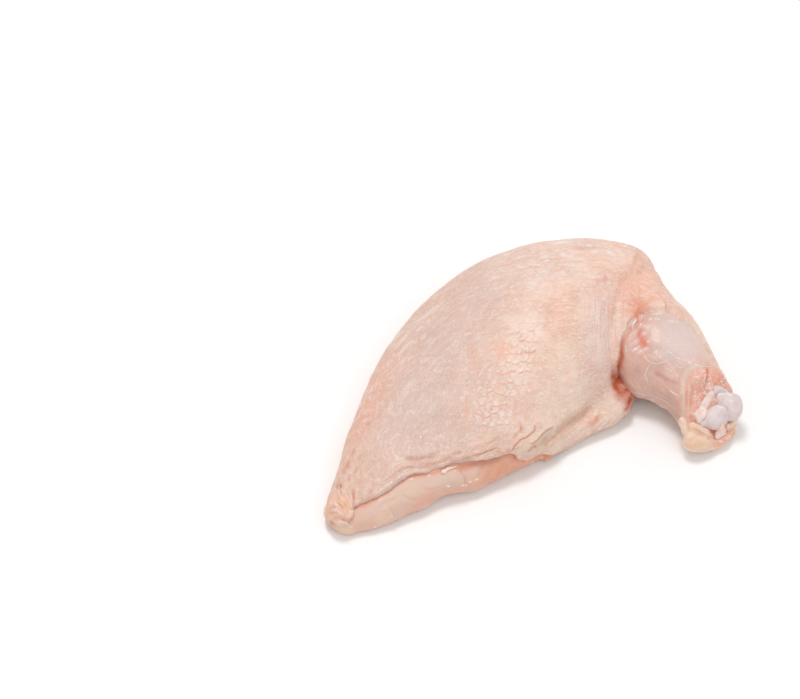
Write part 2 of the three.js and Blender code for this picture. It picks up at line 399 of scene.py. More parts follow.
def finer(piece, places):
    """Cuts the faces smaller near lines drawn in the picture, for the folds there."""
    clay = Clay(piece)
    busy = np.zeros(clay.count, bool)
    for path, reach in places:
        busy |= (clay.beside(path)[0] < reach) & (clay.front > 0.05)
    mesh = piece.data
    chosen = [all(busy[i] for i in p.vertices) for p in mesh.polygons]
    activate(piece)
    bpy.ops.object.mode_set(mode="EDIT")
    bpy.ops.mesh.select_mode(type="FACE")
    bpy.ops.mesh.select_all(action="DESELECT")
    bpy.ops.object.mode_set(mode="OBJECT")
    mesh.polygons.foreach_set("select", chosen)
    bpy.ops.object.mode_set(mode="EDIT")
    bpy.ops.mesh.subdivide(number_cuts=1, smoothness=0.0)
    bpy.ops.mesh.select_mode(type="VERT")
    bpy.ops.object.mode_set(mode="OBJECT")


def tree_of(*pieces):
    """One search tree over the meshes of several pieces, in millimetres."""
    points, faces = [], []
    for piece in pieces:
        start = len(points)
        points += [v.co / MM for v in piece.data.vertices]
        faces += [[start + i for i in p.vertices] for p in piece.data.polygons]
    return BVHTree.FromPolygons(points, faces)


OFF_FLOOR = 0.05


class Clay:
    """A closed mesh whose points are pushed about, with the marks that its finish reads.

    Places are pixels of the picture, turns are degrees, and all other measures are millimetres.
    """

    def __init__(self, piece, under=None):
        self.piece = piece
        self.count = len(piece.data.vertices)
        flat = np.empty(self.count * 3)
        piece.data.vertices.foreach_get("co", flat)
        self.points = flat.reshape(-1, 3) / MM
        ends = np.empty(len(piece.data.edges) * 2, np.int32)
        piece.data.edges.foreach_get("vertices", ends)
        self.ends = ends.reshape(-1, 2)
        self.degree = np.maximum(np.bincount(ends, minlength=self.count), 1)
        self.marks = {}
        self.turned = np.ones(self.count)
        self.look()
        if under:
            self.find_inner_side(under)

    def shared(self, values):
        """Each point's mean over the points joined to it."""
        a, b = self.ends[:, 0], self.ends[:, 1]
        total = np.bincount(a, values[b], self.count) + np.bincount(b, values[a], self.count)
        return total / self.degree

    def relax(self, mask, rounds):
        """Smooths the shape where the mask is."""
        for _ in range(rounds):
            mean = np.stack([self.shared(self.points[:, k]) for k in range(3)], 1)
            self.points += mask[:, None] * (mean - self.points)
        self.look()

    def drag(self, px, py, size, right, up, near):
        """Moves a soft round area across the picture, and near: to the viewer along the ground."""
        pull = np.exp(-self.around(px, py, size, size) ** 2)[:, None]
        self.points += pull * (RIGHT * right + UP * up + NEAR * near)
        self.picture = picture_of(self.points)

    def over(self, tree):
        """How high each point is over the meat, with the meat's nearest point and its facing."""
        spots = np.empty((self.count, 3))
        facing = np.empty((self.count, 3))
        for k in range(self.count):
            spots[k], facing[k] = tree.find_nearest(Vector(self.points[k]))[:2]
        return ((self.points - spots) * facing).sum(1), spots, facing

    def rim(self, rounds):
        """1 at the free edge of the skin, falling to 0 inside it."""
        inside = self.turned.copy()
        for _ in range(rounds):
            inside = self.shared(inside)
        return 1 - np.abs(inside)

    def look(self):
        """Reads the normals again after big moves."""
        mesh = self.piece.data
        mesh.vertices.foreach_set("co", (self.points * MM).ravel())
        mesh.update()
        flat = np.empty(self.count * 3)
        mesh.vertices.foreach_get("normal", flat)
        self.normals = flat.reshape(-1, 3)
        self.settle_outward()

    def settle_outward(self):
        """The way out of the meat at each point, evened so that rims move as one."""
        self.outward = self.normals * self.turned[:, None]
        for _ in range(3):
            self.outward = np.stack([self.shared(self.outward[:, k]) for k in range(3)], 1)
        self.outward /= np.linalg.norm(self.outward, axis=1)[:, None] + 1e-9
        self.picture = picture_of(self.points)
        self.front = step(-0.15, 0.3, self.outward @ BACK)

    def find_inner_side(self, under):
        """The inner side of the skin moves with the outer side, so that its thickness stays."""
        for k in range(self.count):
            spot = Vector(self.points[k])
            nearest = under.find_nearest(spot)[0]
            if nearest is not None and (nearest - spot).dot(Vector(self.normals[k])) > 0:
                self.turned[k] = -1
        self.settle_outward()

    def push(self, amount, everywhere=False):
        """Moves the surface outward, where the camera sees it or everywhere."""
        if not everywhere:
            amount = amount * self.front
        self.points += self.outward * amount[:, None]

    def roughen(self, *layers):
        """Pushes the surface about by noise: each layer's height, size of lumps and seed."""
        self.push(sum(height * rough(self.points / size, 2, seed) for height, size, seed in layers),
                  everywhere=True)

    def mark(self, name, amount, everywhere=False):
        """Keeps the larger of a mark's old and new strength at each point."""
        if not everywhere:
            amount = amount * self.front
        old = self.marks.get(name, np.zeros(self.count))
        self.marks[name] = np.clip(np.maximum(old, amount), 0, 1)

    def patches(self, places, everywhere=False):
        """Marks over ovals: name, pixel, two reaches, turn, strength, and how sharply it ends."""
        for name, px, py, wide, high, turn, much, sharp in places:
            self.mark(name, much * np.exp(-self.around(px, py, wide, high, turn) ** sharp), everywhere)

    def line(self, name, path, width, much=1.0, everywhere=False):
        """A mark along a line drawn in the picture."""
        gap = self.beside(path)[0]
        self.mark(name, much * np.exp(-(gap / width) ** 2), everywhere)

    def streak(self, name, path, width, much=1.0):
        """A mark along a line, which thins out towards both ends."""
        gap, _, share = self.beside(path)
        self.mark(name, much * np.exp(-(gap / width) ** 2) * np.sin(math.pi * share) ** 0.5)

    def broken_streak(self, name, path, width, bits, low, high, seed):
        """A streak in bits: the number of noise lumps along it, and between which values it starts."""
        gap, _, share = self.beside(path)
        patchy = step(low, high, rough_over(share * bits, gap, 2, seed))
        self.mark(name, patchy * np.exp(-(gap / width) ** 2) * np.sin(math.pi * share) ** 0.5)

    def beside(self, path, margin=14.0):
        """Distance from a line drawn in the picture, its side (left is 1) and the share passed."""
        line = drawn(path)
        low = line.min(0) - margin * PX_PER_MM
        high = line.max(0) + margin * PX_PER_MM
        near = np.where(((self.picture > low) & (self.picture < high)).all(1))[0]
        spots = self.picture[near]
        best = np.full(len(near), 1e9)
        side = np.ones(len(near))
        along = np.zeros(len(near))
        steps = np.linalg.norm(np.diff(line, axis=0), axis=1)
        reached = np.concatenate([[0], np.cumsum(steps)]) / max(steps.sum(), 1e-9)
        for k in range(len(line) - 1):
            a, b = line[k], line[k + 1]
            run = b - a
            t = np.clip(((spots - a) @ run) / max(run @ run, 1e-9), 0, 1)
            off = spots - (a + t[:, None] * run)
            gap = np.hypot(off[:, 0], off[:, 1])
            closer = gap < best
            best[closer] = gap[closer]
            side[closer] = np.sign(off[closer, 0] * run[1] - off[closer, 1] * run[0])
            along[closer] = (reached[k] + (reached[k + 1] - reached[k]) * t)[closer]
        distance = np.full(self.count, 1e9)
        sides = np.ones(self.count)
        share = np.zeros(self.count)
        distance[near] = best / PX_PER_MM
        sides[near] = side
        share[near] = along
        return distance, sides, share

    def around(self, px, py, wide, high, turn=0.0):
        """Distance from a spot in the picture, as a share of its size in mm."""
        dx = (self.picture[:, 0] - px) / PX_PER_MM
        dy = (py - self.picture[:, 1]) / PX_PER_MM
        c, s = math.cos(math.radians(turn)), math.sin(math.radians(turn))
        return np.hypot((dx * c + dy * s) / wide, (dy * c - dx * s) / high)

    def groove(self, path, width, depth, lip=0.0, stain=0.0, mark="fold", ends=0.15):
        """A furrow, with a low swelling on each side of it."""
        gap, _, share = self.beside(path)
        fade = faded(share, ends) if ends else 1.0
        self.push((lip * np.exp(-((gap - 1.9 * width) / width) ** 2)
                   - depth * np.exp(-(gap / width) ** 2)) * fade)
        if stain:
            self.mark(mark, stain * np.exp(-(gap / (0.8 * width)) ** 2) * fade)

    def ridge(self, path, width, height):
        """A low roll along a line."""
        gap, _, share = self.beside(path)
        self.push(height * np.exp(-(gap / width) ** 2) * faded(share, 0.15))

    def overlap(self, path, width, height, stain=0.0, ends=0.12, over=1):
        """A fold of skin that lies over the skin beyond it: high up to the line, low past it."""
        gap, side, share = self.beside(path)
        fade = faded(share, ends)
        top = step(-0.35, 0.35, gap * side * over)
        high_side = height * np.exp(-(gap / width) ** 1.5)
        low_side = -0.45 * height * np.exp(-(gap / (0.5 * width)) ** 2)
        self.push((top * high_side + (1 - top) * low_side) * fade)
        # The stain puts the fold colour on the low side, under the lip: painted shade there, with the
        # crease's warm tone.
        if stain:
            low = 1 - step(-0.5, 0.6, gap * side * over)
            self.mark("fold", stain * low * np.exp(-(gap / (0.45 * width)) ** 2) * fade)

    def swell(self, px, py, wide, high, height, turn=0.0):
        """A soft oval rise, or a hollow where the height is below 0."""
        self.push(height * np.exp(-self.around(px, py, wide, high, turn) ** 2))

    def stay_inside(self, margin=1.6):
        """Eases what swelled past the solids' overall size back inside it, and off the floor."""
        low, high = (np.array(corner) / MM for corner in cad_box)
        for k in range(3):
            past = np.maximum(self.points[:, k] - (high[k] - margin), 0)
            self.points[:, k] -= past - margin * np.tanh(past / margin)
            if k < 2:
                past = np.maximum(low[k] + margin - self.points[:, k], 0)
                self.points[:, k] += past - margin * np.tanh(past / margin)
        self.points[:, 2] = np.maximum(self.points[:, 2], OFF_FLOOR)

    def write(self, **vectors):
        """Puts the points, the marks and any vectors for the finish on the mesh."""
        self.stay_inside()
        mesh = self.piece.data
        mesh.vertices.foreach_set("co", (self.points * MM).ravel())
        mesh.update()
        for name, values in self.marks.items():
            layer = mesh.attributes.new(name, "FLOAT", "POINT")
            layer.data.foreach_set("value", values.astype(np.float32))
        for name, values in vectors.items():
            layer = mesh.attributes.new(name, "FLOAT_VECTOR", "POINT")
            layer.data.foreach_set("vector", values.astype(np.float32).ravel())
        activate(self.piece)
        bpy.ops.object.shade_smooth()


# ---------------------------------------------------------------- finishes

def paint(red, green, blue):
    """A colour as a paint card gives it, from 0 to 255, made linear."""
    return tuple(
        c / 12.92 if c <= 0.04045 else ((c + 0.055) / 1.055) ** 2.4
        for c in (red / 255, green / 255, blue / 255)
    ) + (1.0,)


class Wire:
    """A shader value that can be reckoned with like a number."""

    def __init__(self, finish, socket):
        self.finish = finish
        self.socket = socket

    def sum(self, operation, *others, clamp=False):
        """One step of maths on values and numbers."""
        made = self.finish.node("ShaderNodeMath", {"operation": operation, "use_clamp": clamp},
                                dict(enumerate(others)))
        return Wire(self.finish, made.outputs[0])

    def __add__(self, other):
        return self.sum("ADD", self, other)

    def __sub__(self, other):
        return self.sum("SUBTRACT", self, other)

    def __rsub__(self, other):
        return self.sum("SUBTRACT", other, self)

    def __mul__(self, other):
        return self.sum("MULTIPLY", self, other)

    def __truediv__(self, other):
        return self.sum("DIVIDE", self, other)

    def __rtruediv__(self, other):
        return self.sum("DIVIDE", other, self)

    __radd__ = __add__
    __rmul__ = __mul__

    def between(self, low, high):
        """0 below low, 1 above high and smooth between them."""
        made = self.finish.node(
            "ShaderNodeMapRange", {"interpolation_type": "SMOOTHSTEP"},
            {"Value": self, "From Min": low, "From Max": high, "To Min": 0.0, "To Max": 1.0})
        return Wire(self.finish, made.outputs["Result"])

    def floor(self):
        """The whole number below."""
        return self.sum("FLOOR", self)

    def size(self):
        """Without its sign."""
        return self.sum("ABSOLUTE", self)

    def part(self):
        """What is left over whole numbers."""
        return self.sum("FRACT", self)

    def clip(self):
        """Kept from 0 to 1."""
        return self.sum("ADD", self, 0.0, clamp=True)


class Finish:
    """One material, built from nodes on the Principled shader."""

    def __init__(self, name, **constants):
        self.material = bpy.data.materials.new(name)
        self.material.use_nodes = True
        self.tree = self.material.node_tree
        self.shader = self.tree.nodes["Principled BSDF"]
        for key, value in constants.items():
            self.shader.inputs[key.replace("_", " ")].default_value = value
        self.place = self.node("ShaderNodeTexCoord").outputs["Object"]
        self.colour = None

    def node(self, kind, settings=None, sockets=None):
        """A node of one kind: its settings are set first, and then its sockets get values or links."""
        made = self.tree.nodes.new(kind)
        for key, value in (settings or {}).items():
            setattr(made, key, value)
        for key, value in (sockets or {}).items():
            self.feed(made.inputs[key], value)
        return made

    def feed(self, socket, value):
        """Links or sets a socket."""
        if isinstance(value, Wire):
            value = value.socket
        if isinstance(value, bpy.types.NodeSocket):
            self.tree.links.new(value, socket)
        else:
            socket.default_value = value

    def mark(self, name):
        """A mark that the sculpting left on the mesh."""
        made = self.node("ShaderNodeAttribute", {"attribute_name": name})
        return Wire(self, made.outputs["Fac"])

    def vector_mark(self, name):
        """A vector that the sculpting left on the mesh."""
        return self.node("ShaderNodeAttribute", {"attribute_name": name}).outputs["Vector"]

    def parts(self, vector):
        """A vector's three numbers."""
        made = self.node("ShaderNodeSeparateXYZ", None, {"Vector": vector})
        return [Wire(self, made.outputs[k]) for k in range(3)]

    def arrows(self, operation, first, second):
        """One step of maths on vectors."""
        made = self.node("ShaderNodeVectorMath", {"operation": operation}, {0: first, 1: second})
        return made.outputs[0]

    def stretched(self, vector, *scale):
        """A vector with its numbers multiplied, so that a pattern is longer where they are small."""
        return self.arrows("MULTIPLY", vector, scale)

    def turned(self, vector, degrees):
        """A vector turned in its own plane."""
        return self.node("ShaderNodeMapping", None, {
            "Vector": vector, "Rotation": (0, 0, math.radians(degrees))}).outputs[0]

    def wavering(self, vector, scale, amount):
        """A vector pushed about by a noise's colour, to break up a pattern."""
        noise = self.node("ShaderNodeTexNoise", None, {
            "Vector": self.place, "Scale": scale, "Detail": 2.0, "Roughness": 0.5})
        centred = self.arrows("SUBTRACT", noise.outputs["Color"], (0.5,) * 3)
        scaled = self.node("ShaderNodeVectorMath", {"operation": "SCALE"},
                           {0: centred, "Scale": amount})
        return self.arrows("ADD", vector, scaled.outputs[0])

    def noise(self, scale, detail=2.0, roughness=0.5, vector=None):
        """Cloudy values round 0.5."""
        made = self.node("ShaderNodeTexNoise", None, {
            "Vector": self.place if vector is None else vector,
            "Scale": scale, "Detail": detail, "Roughness": roughness})
        return Wire(self, made.outputs["Fac"])

    def cells(self, scale):
        """The distance to the nearest of many scattered spots."""
        made = self.node("ShaderNodeTexVoronoi", None, {"Vector": self.place, "Scale": scale})
        return Wire(self, made.outputs["Distance"])

    def dots(self, scale, small, large):
        """Small round dots on scattered spots, each 1 inside the smaller size and 0 past the larger."""
        return 1.0 - self.cells(scale).between(small, large)

    def lines(self, width, *noise):
        """Thin winding lines: 1 where a noise passes its middle, and 0 away from there."""
        return 1.0 - (self.noise(*noise) - 0.5).size().between(0.0, width)

    def drops(self, scale, where):
        """Small round drops of moisture, where the other value lets them be."""
        return self.dots(scale, 0.05, 0.15) * where

    def mix(self, factor, first, second):
        """From the first colour to the second."""
        made = self.node("ShaderNodeMix", {"data_type": "RGBA"}, {0: factor, 6: first, 7: second})
        return made.outputs[2]

    def cover(self, amount, colour):
        """Lays a colour over the earlier ones, as far as the amount lets it."""
        self.colour = self.mix(amount, self.colour, colour)

    def set(self, **inputs):
        """Feeds the shader's own sockets."""
        for key, value in inputs.items():
            self.feed(self.shader.inputs[key.replace("_", " ")], value)

    def bump(self, height, distance, strength):
        """Height is in units of the distance, which is in millimetres."""
        made = self.node("ShaderNodeBump", None, {
            "Height": height, "Distance": distance * MM, "Strength": strength})
        self.set(Normal=made.outputs["Normal"])


def moist(name, scatter_size, weight):
    """The wet, slightly see-through base of every finish here."""
    finish = Finish(name, Subsurface_Weight=weight, Subsurface_Scale=scatter_size * MM,
                    Subsurface_Radius=(1.0, 0.45, 0.3), Coat_Roughness=0.12, IOR=1.4)
    finish.shader.subsurface_method = "RANDOM_WALK"
    return finish


def skin_finish():
    """Cream and pink skin with fibres, tucks, feather pits, stains and specks, with painted shade and
    painted highlights.
    """
    f = moist("moist_poultry_skin", 1.0, 0.12)
    painted_shade_tone = paint(219, 181, 162)
    flushed = paint(238, 166, 138)
    bared = paint(226, 188, 172)
    tuck_top = paint(244, 226, 214)
    tuck_bottom = paint(224, 168, 146)
    creased = paint(226, 176, 154)
    warm_lick = paint(240, 186, 160)
    lick_highlight = paint(252, 244, 238)
    flap_furrow = paint(228, 178, 156)
    pit_dash = paint(230, 164, 134)
    rib_top = paint(238, 220, 212)
    rib_bottom = paint(226, 184, 168)
    orange_stain_and_shade = paint(184, 86, 48)
    olive_shade = paint(202, 182, 158)
    yolk = paint(240, 190, 138)
    white = paint(248, 236, 226)
    speck = paint(236, 172, 116)
    painted_glint = paint(254, 250, 247)
    grain = f.wavering(f.vector_mark("grain"), 110, 5.0)
    blotches = f.noise(75, 3, 0.6)
    mottle = f.noise(300, 3, 0.6)
    flecks = f.noise(950, 3, 0.6)
    streaks = f.noise(1.0, 3, 0.6, f.stretched(grain, 0.12, 0.55, 0.2))
    fine_streaks = f.noise(1.0, 3, 0.65, f.stretched(grain, 0.35, 1.3, 0.5))
    fibres = f.lines(0.06, 1.0, 2, 0.5, f.stretched(grain, 0.14, 0.42, 0.25))
    fibres = fibres * mottle.between(0.35, 0.6)
    creases = f.lines(0.07, 1.0, 3, 0.6, f.stretched(grain, 0.3, 0.62, 0.4))
    creases = creases * blotches.between(0.3, 0.6)
    cream, pink, warm = paint(240, 214, 198), paint(237, 200, 184), paint(238, 187, 163)
    grey, fat, blood = paint(210, 187, 180), paint(238, 214, 190), paint(220, 132, 98)
    pale = paint(247, 230, 219)
    f.colour = f.mix(blotches.between(0.38, 0.66), cream, pink)
    f.cover(mottle.between(0.45, 0.75) * 0.35, warm)
    f.cover(streaks.between(0.45, 0.68) * 0.5, warm)
    # Painted shade: darker near the skin's edge over the meat and over the left half.
    f.cover(f.mark("shaded") * (blotches * 0.5 + 0.7), painted_shade_tone)
    f.cover(f.mark("thin") * (blotches * 0.6 + 0.6), grey)
    f.cover(f.mark("fat") * (mottle * 0.6 + 0.5), fat)
    f.cover(f.mark("flush") * (mottle * 0.9 + 0.4), flushed)
    f.cover(f.mark("bare") * (mottle * 0.4 + 0.7), bared)
    calm = (1.0 - f.mark("shaded") * 0.45) * (1.0 - f.mark("stain") * 0.85)
    f.cover(fine_streaks.between(0.5, 0.7) * calm * 0.45, pale)
    f.cover(flecks.between(0.5, 0.8) * 0.25, pale)
    f.cover(fibres * 0.4, pale)
    hem = f.mark("hemmed")
    gathered = f.wavering(f.stretched(f.vector_mark("hem"), 0.2, 1.0, 0.0), 150, 0.8)
    tucks = f.noise(1.0, 3, 0.65, gathered)
    f.cover(tucks.between(0.52, 0.66) * hem * 0.6, tuck_top)
    f.cover((1.0 - tucks).between(0.52, 0.66) * hem * 0.45, tuck_bottom)
    f.cover(creases * 0.25, creased)
    # White licks, which are painted highlights, and warm ones, where the skin is drawn tight.
    tight = f.mark("tight")
    glint_licks = f.noise(1.0, 2, 0.55, f.stretched(grain, 0.16, 2.1, 0.4))
    glint_licks = glint_licks.between(0.58, 0.65) * tight
    warm_licks = f.noise(1.0, 2, 0.55, f.stretched(grain, 0.1, 0.85, 0.3))
    warm_licks = warm_licks.between(0.56, 0.66) * tight
    f.cover(warm_licks * 0.4, warm_lick)
    f.cover(glint_licks * 0.75, lick_highlight)
    # Fine lines along the flap.
    drawn_out = f.turned(f.vector_mark("pits"), 36)
    lines = f.noise(1.0, 3, 0.6, f.stretched(drawn_out, 0.35, 4.5, 0.0))
    flap = f.mark("flap")
    f.cover(lines.between(0.5, 0.64) * flap * 0.5, pale)
    f.cover((1.0 - lines).between(0.52, 0.66) * flap * 0.4, flap_furrow)
    # The feather pits: rows of low scales, each ending in a warm dash that curls up at its ends; the
    # scales' bulges are painted paler, as highlights.
    across, down, zone = f.parts(f.wavering(f.vector_mark("pits"), 170, 1.0))
    zone = zone.clip()
    row = down.floor()
    shifted = across + row * 0.37
    column = shifted.floor()
    pit = f.node("ShaderNodeCombineXYZ", None, {0: column, 1: row}).outputs[0]
    jitter = f.node("ShaderNodeTexWhiteNoise", {"noise_dimensions": "2D"}, {"Vector": pit})
    jitter = Wire(f, jitter.outputs["Value"])
    u = (shifted - column - 0.5) * 2.0
    bulge = 1.0 - u * u
    v = down - row - 0.5 + u * u * 0.09 + (jitter - 0.5) * 0.4
    dash = (1.0 - v.size() / (jitter * 0.05 + 0.12)).clip() * bulge.between(0.1, 0.7)
    dash = dash * jitter.between(-0.1, 0.45) * zone
    # Painted highlights: paler up the middle of each scale and over its lower bulge.
    upright_highlight = bulge.between(0.4, 0.95) * mottle.between(0.35, 0.55) * zone
    scale = v.part().between(0.45, 0.98) * bulge * zone
    f.cover((scale * 0.35 + upright_highlight * 0.5).clip(), pale)
    f.cover((dash * 0.95).clip(), pit_dash)
    # The upright stripes beside the wing.
    swaying = f.wavering(f.vector_mark("pits"), 130, 0.7)
    stripes = f.noise(1.0, 2, 0.5, f.stretched(swaying, 4.6, 0.32, 0.0)).between(0.38, 0.62)
    ribs = f.mark("ribs")
    f.cover(((1.0 - stripes) * ribs * 0.6).clip(), rib_top)
    f.cover((stripes * ribs * 0.3).clip(), rib_bottom)
    # The creases' warm red, which is also painted shade under the folds' lips and along the skin's
    # edge.
    f.cover((f.mark("fold") * 0.9).clip(), blood)
    # Orange stains, and painted shade in the armpit and along its crease.
    f.cover((f.mark("stain") * (mottle.between(0.4, 0.6) * 0.35 + 0.8)).clip(), orange_stain_and_shade)
    # Painted shade: greyish olive in the valley above the flap.
    f.cover((f.mark("olive_shade") * (flecks * 0.8 + 0.35)).clip(), olive_shade)
    f.cover(f.mark("yolk"), yolk)
    # White streaks of the skin's own, and painted highlights: the whitened top, the licks and the
    # streaks on the rim over the wing.
    f.cover((f.mark("white") * 0.75).clip(), white)
    specks = f.dots(120, 0.04, 0.13) * f.noise(40, 1).between(0.5, 0.65)
    f.cover(specks * 0.5, speck)
    # Painted highlights: small white glints scattered over the skin.
    painted_glints = f.dots(230, 0.04, 0.1) * f.noise(60, 1).between(0.4, 0.5)
    f.cover(painted_glints * 0.8, painted_glint)
    f.set(Base_Color=f.colour)
    drops = f.drops(300, f.noise(55, 1).between(0.5, 0.62))
    f.set(Roughness=mottle * 0.2 + 0.42)
    wet = drops + mottle.between(0.5, 0.8) * 0.2 + f.mark("white") * 0.6 + glint_licks * 0.4
    f.set(Coat_Weight=wet.clip())
    texture = (fine_streaks * 0.8 + streaks * 0.6 + flecks * 0.35 + mottle * 0.4 + fibres * 0.4
               - creases * 0.5)
    height = (texture * calm - dash * 0.5 + scale * 0.2 + upright_highlight * 0.45 - stripes * ribs * 0.3
              - specks * 0.4 + drops * 0.6 + painted_glints + tucks * hem * 2.0 + glint_licks * 0.6
              + warm_licks * 0.6 + lines * flap * 1.5)
    f.bump(height, 0.25, 0.8)
    return f.material


def breast_finish():
    """Pale pink meat, orange and fibrous in places."""
    f = moist("moist_breast_meat", 2.5, 0.25)
    fat = paint(240, 206, 180)
    fibre = paint(234, 180, 156)
    shade = paint(200, 146, 126)
    fold = paint(230, 144, 110)
    painted_glint = paint(255, 252, 248)
    pale, pink, orange = paint(225, 194, 178), paint(229, 187, 168), paint(227, 160, 130)
    blotches = f.noise(110, 3, 0.55)
    mottle = f.noise(420, 3, 0.6)
    turned = f.turned(f.vector_mark("place"), -57)
    fibres = f.noise(1.0, 3, 0.6, f.stretched(turned, 0.12, 1.1, 0.4))
    f.colour = f.mix(blotches.between(0.35, 0.7), pink, pale)
    f.cover((f.mark("orange") * (blotches * 0.5 + 0.75)).clip(), orange)
    f.cover((f.mark("pale") * (blotches * 0.3 + 0.75)).clip(), pale)
    f.cover((f.mark("fat") * 0.9).clip(), fat)
    f.cover(fibres.between(0.4, 0.7) * f.mark("fibrous") * 0.6, fibre)
    f.cover(mottle.between(0.45, 0.75) * 0.25, pale)
    f.cover((f.mark("shade") * 0.9).clip(), shade)
    # The warm fold colour, partly painted shade under the skin's edge.
    f.cover((f.mark("fold") * 0.95).clip(), fold)
    # Painted highlights: small white glints.
    f.cover(f.mark("painted_glint"), painted_glint)
    f.set(Base_Color=f.colour)
    drops = f.drops(330, f.noise(70, 1).between(0.5, 0.62))
    f.set(Roughness=blotches * 0.2 + 0.34)
    f.set(Coat_Weight=(drops + f.noise(420, 2).between(0.5, 0.7) * 0.4).clip())
    height = fibres * (f.mark("fibrous") * 1.2 + 0.1) + f.noise(500, 3, 0.6) * 0.5 + drops * 0.6
    f.bump(height, 0.45, 0.8)
    return f.material


def wing_finish():
    """Rosy meat with webs and blood, wetter at the elbow's cut."""
    f = moist("moist_wing_meat", 2.0, 0.2)
    cream = paint(232, 206, 186)
    cut_meat = paint(242, 186, 164)
    blood = paint(220, 112, 86)
    vein = paint(194, 138, 136)
    web = paint(250, 230, 220)
    fold = paint(186, 94, 60)
    white = paint(246, 234, 226)
    painted_glint = paint(255, 250, 246)
    pale, rose, pink = paint(226, 204, 198), paint(208, 168, 153), paint(222, 180, 164)
    blotches = f.noise(130, 3, 0.55)
    mottle = f.noise(520, 3, 0.6)
    fibres = f.noise(1.0, 3, 0.6, f.stretched(f.vector_mark("grain"), 0.08, 1.0, 0.6))
    webs = (f.lines(0.05, 260, 2) + f.lines(0.05, 480, 2) * 0.7) * blotches.between(0.42, 0.62)
    f.colour = f.mix(blotches.between(0.35, 0.7), rose, pink)
    f.cover((f.mark("pale") * 0.9).clip(), pale)
    f.cover(fibres.between(0.5, 0.75) * 0.35, pale)
    f.cover((f.mark("cream") * (blotches * 0.4 + 0.6)).clip(), cream)
    f.cover((f.mark("cut") * (mottle * 0.5 + 0.7)).clip(), cut_meat)
    f.cover((f.mark("blood") * (mottle * 0.6 + 0.6)).clip(), blood)
    f.cover((f.mark("vein") * 0.6).clip(), vein)
    f.cover((webs * (f.mark("cut") + 0.3) * 0.5).clip(), web)
    # Painted shade, deep orange, in the armpit crease and the cut's hollow; the pit below the knobs is
    # also painted this deep orange.
    f.cover((f.mark("fold") * 0.95).clip(), fold)
    # White membranes, streaked with painted highlights.
    f.cover((f.mark("white") * 0.8).clip(), white)
    wet = (f.mark("cut") + f.mark("blood")).clip()
    sparkle_spray = f.mark("sparkle_spray")
    fine_drops = f.drops(560, wet * blotches.between(0.35, 0.5))
    drops = (fine_drops + f.drops(330, wet * mottle.between(0.4, 0.5))).clip()
    # Painted highlights: the drops and the spray of glints are painted white.
    f.cover(drops * 0.9, painted_glint)
    f.cover(sparkle_spray, painted_glint)
    f.set(Base_Color=f.colour)
    f.set(Roughness=blotches * 0.2 + 0.36)
    f.set(Coat_Weight=(blotches.between(0.3, 0.7) * 0.12 + 0.05 + drops + f.mark("cut") * 0.4).clip())
    cut = f.mark("cut")
    height = (fibres * 0.7 + f.noise(600, 3, 0.6) * (cut * 1.2 + 0.3) + webs * (cut + 0.2) * 0.4
              + drops + sparkle_spray)
    f.bump(height, 0.3, 0.8)
    return f.material


def fat_finish():
    """Cream fat with tan, pink and dark orange places."""
    f = moist("soft_fat", 2.0, 0.25)
    cream = paint(243, 214, 192)
    buff = paint(239, 204, 180)
    tan = paint(234, 192, 160)
    pink = paint(234, 172, 148)
    pit = paint(204, 100, 56)
    light = paint(244, 224, 208)
    painted_glint = paint(254, 248, 243)
    blotches = f.noise(240, 3, 0.55)
    mottle = f.noise(700, 3, 0.6)
    f.colour = f.mix(blotches.between(0.35, 0.7), cream, buff)
    f.cover((f.mark("tan") * 0.8).clip(), tan)
    f.cover((f.mark("pink") * (blotches * 0.5 + 0.7)).clip(), pink)
    f.cover((f.mark("pit") * 0.95).clip(), pit)
    f.cover(mottle.between(0.5, 0.8) * 0.3, light)
    # Painted highlights: the drops and the spray of glints are painted white.
    drops = (f.drops(360, f.mark("pink") * 0.9 + 0.1) + f.mark("sparkle_spray")).clip()
    f.cover(drops * 0.85, painted_glint)
    f.set(Base_Color=f.colour)
    f.set(Roughness=blotches * 0.2 + 0.28)
    f.set(Coat_Weight=(blotches.between(0.3, 0.7) * 0.3 + 0.2 + drops).clip())
    f.bump(mottle + drops, 0.2, 0.8)
    return f.material


def cartilage_finish():
    """Bluish white gristle with lighter rims round the discs, and painted highlights along the knobs'
    top edges.
    """
    f = moist("wet_cartilage", 1.6, 0.3)
    white = paint(227, 213, 211)
    rosy = paint(222, 203, 199)
    disc = paint(226, 204, 204)
    rim = paint(240, 234, 236)
    blotches = f.noise(260, 3, 0.5)
    f.colour = f.mix(blotches.between(0.35, 0.7), white, rosy)
    f.cover(f.mark("disc") * 0.5, disc)
    # Lighter rims round the discs, and painted highlights along the knobs' top edges.
    f.cover(f.mark("edge") * 0.8, rim)
    f.set(Base_Color=f.colour)
    f.set(Roughness=blotches * 0.15 + 0.36)
    f.set(Coat_Weight=blotches * 0.2)
    f.bump(f.noise(700, 2), 0.08, 0.6)
    return f.material


def sinew_finish(name, light, dark):
    """One white tissue between a light and a dark colour, with small drops painted lighter as
    highlights.
    """
    f = moist(name, 1.5, 0.3)
    painted_glint = paint(252, 244, 240)
    mottle = f.noise(420, 3, 0.6)
    f.colour = f.mix(mottle.between(0.35, 0.7), light, dark)
    drops = f.drops(600, mottle.between(0.4, 0.6))
    # Painted highlights: the drops are painted lighter.
    f.set(Base_Color=f.mix(drops * 0.4, f.colour, painted_glint))
    f.set(Roughness=mottle * 0.2 + 0.24)
    f.set(Coat_Weight=(mottle * 0.3 + 0.25 + drops).clip())
    f.bump(f.noise(1200, 3, 0.6) + drops, 0.12, 0.7)
    return f.material


# ---------------------------------------------------------------- the skin

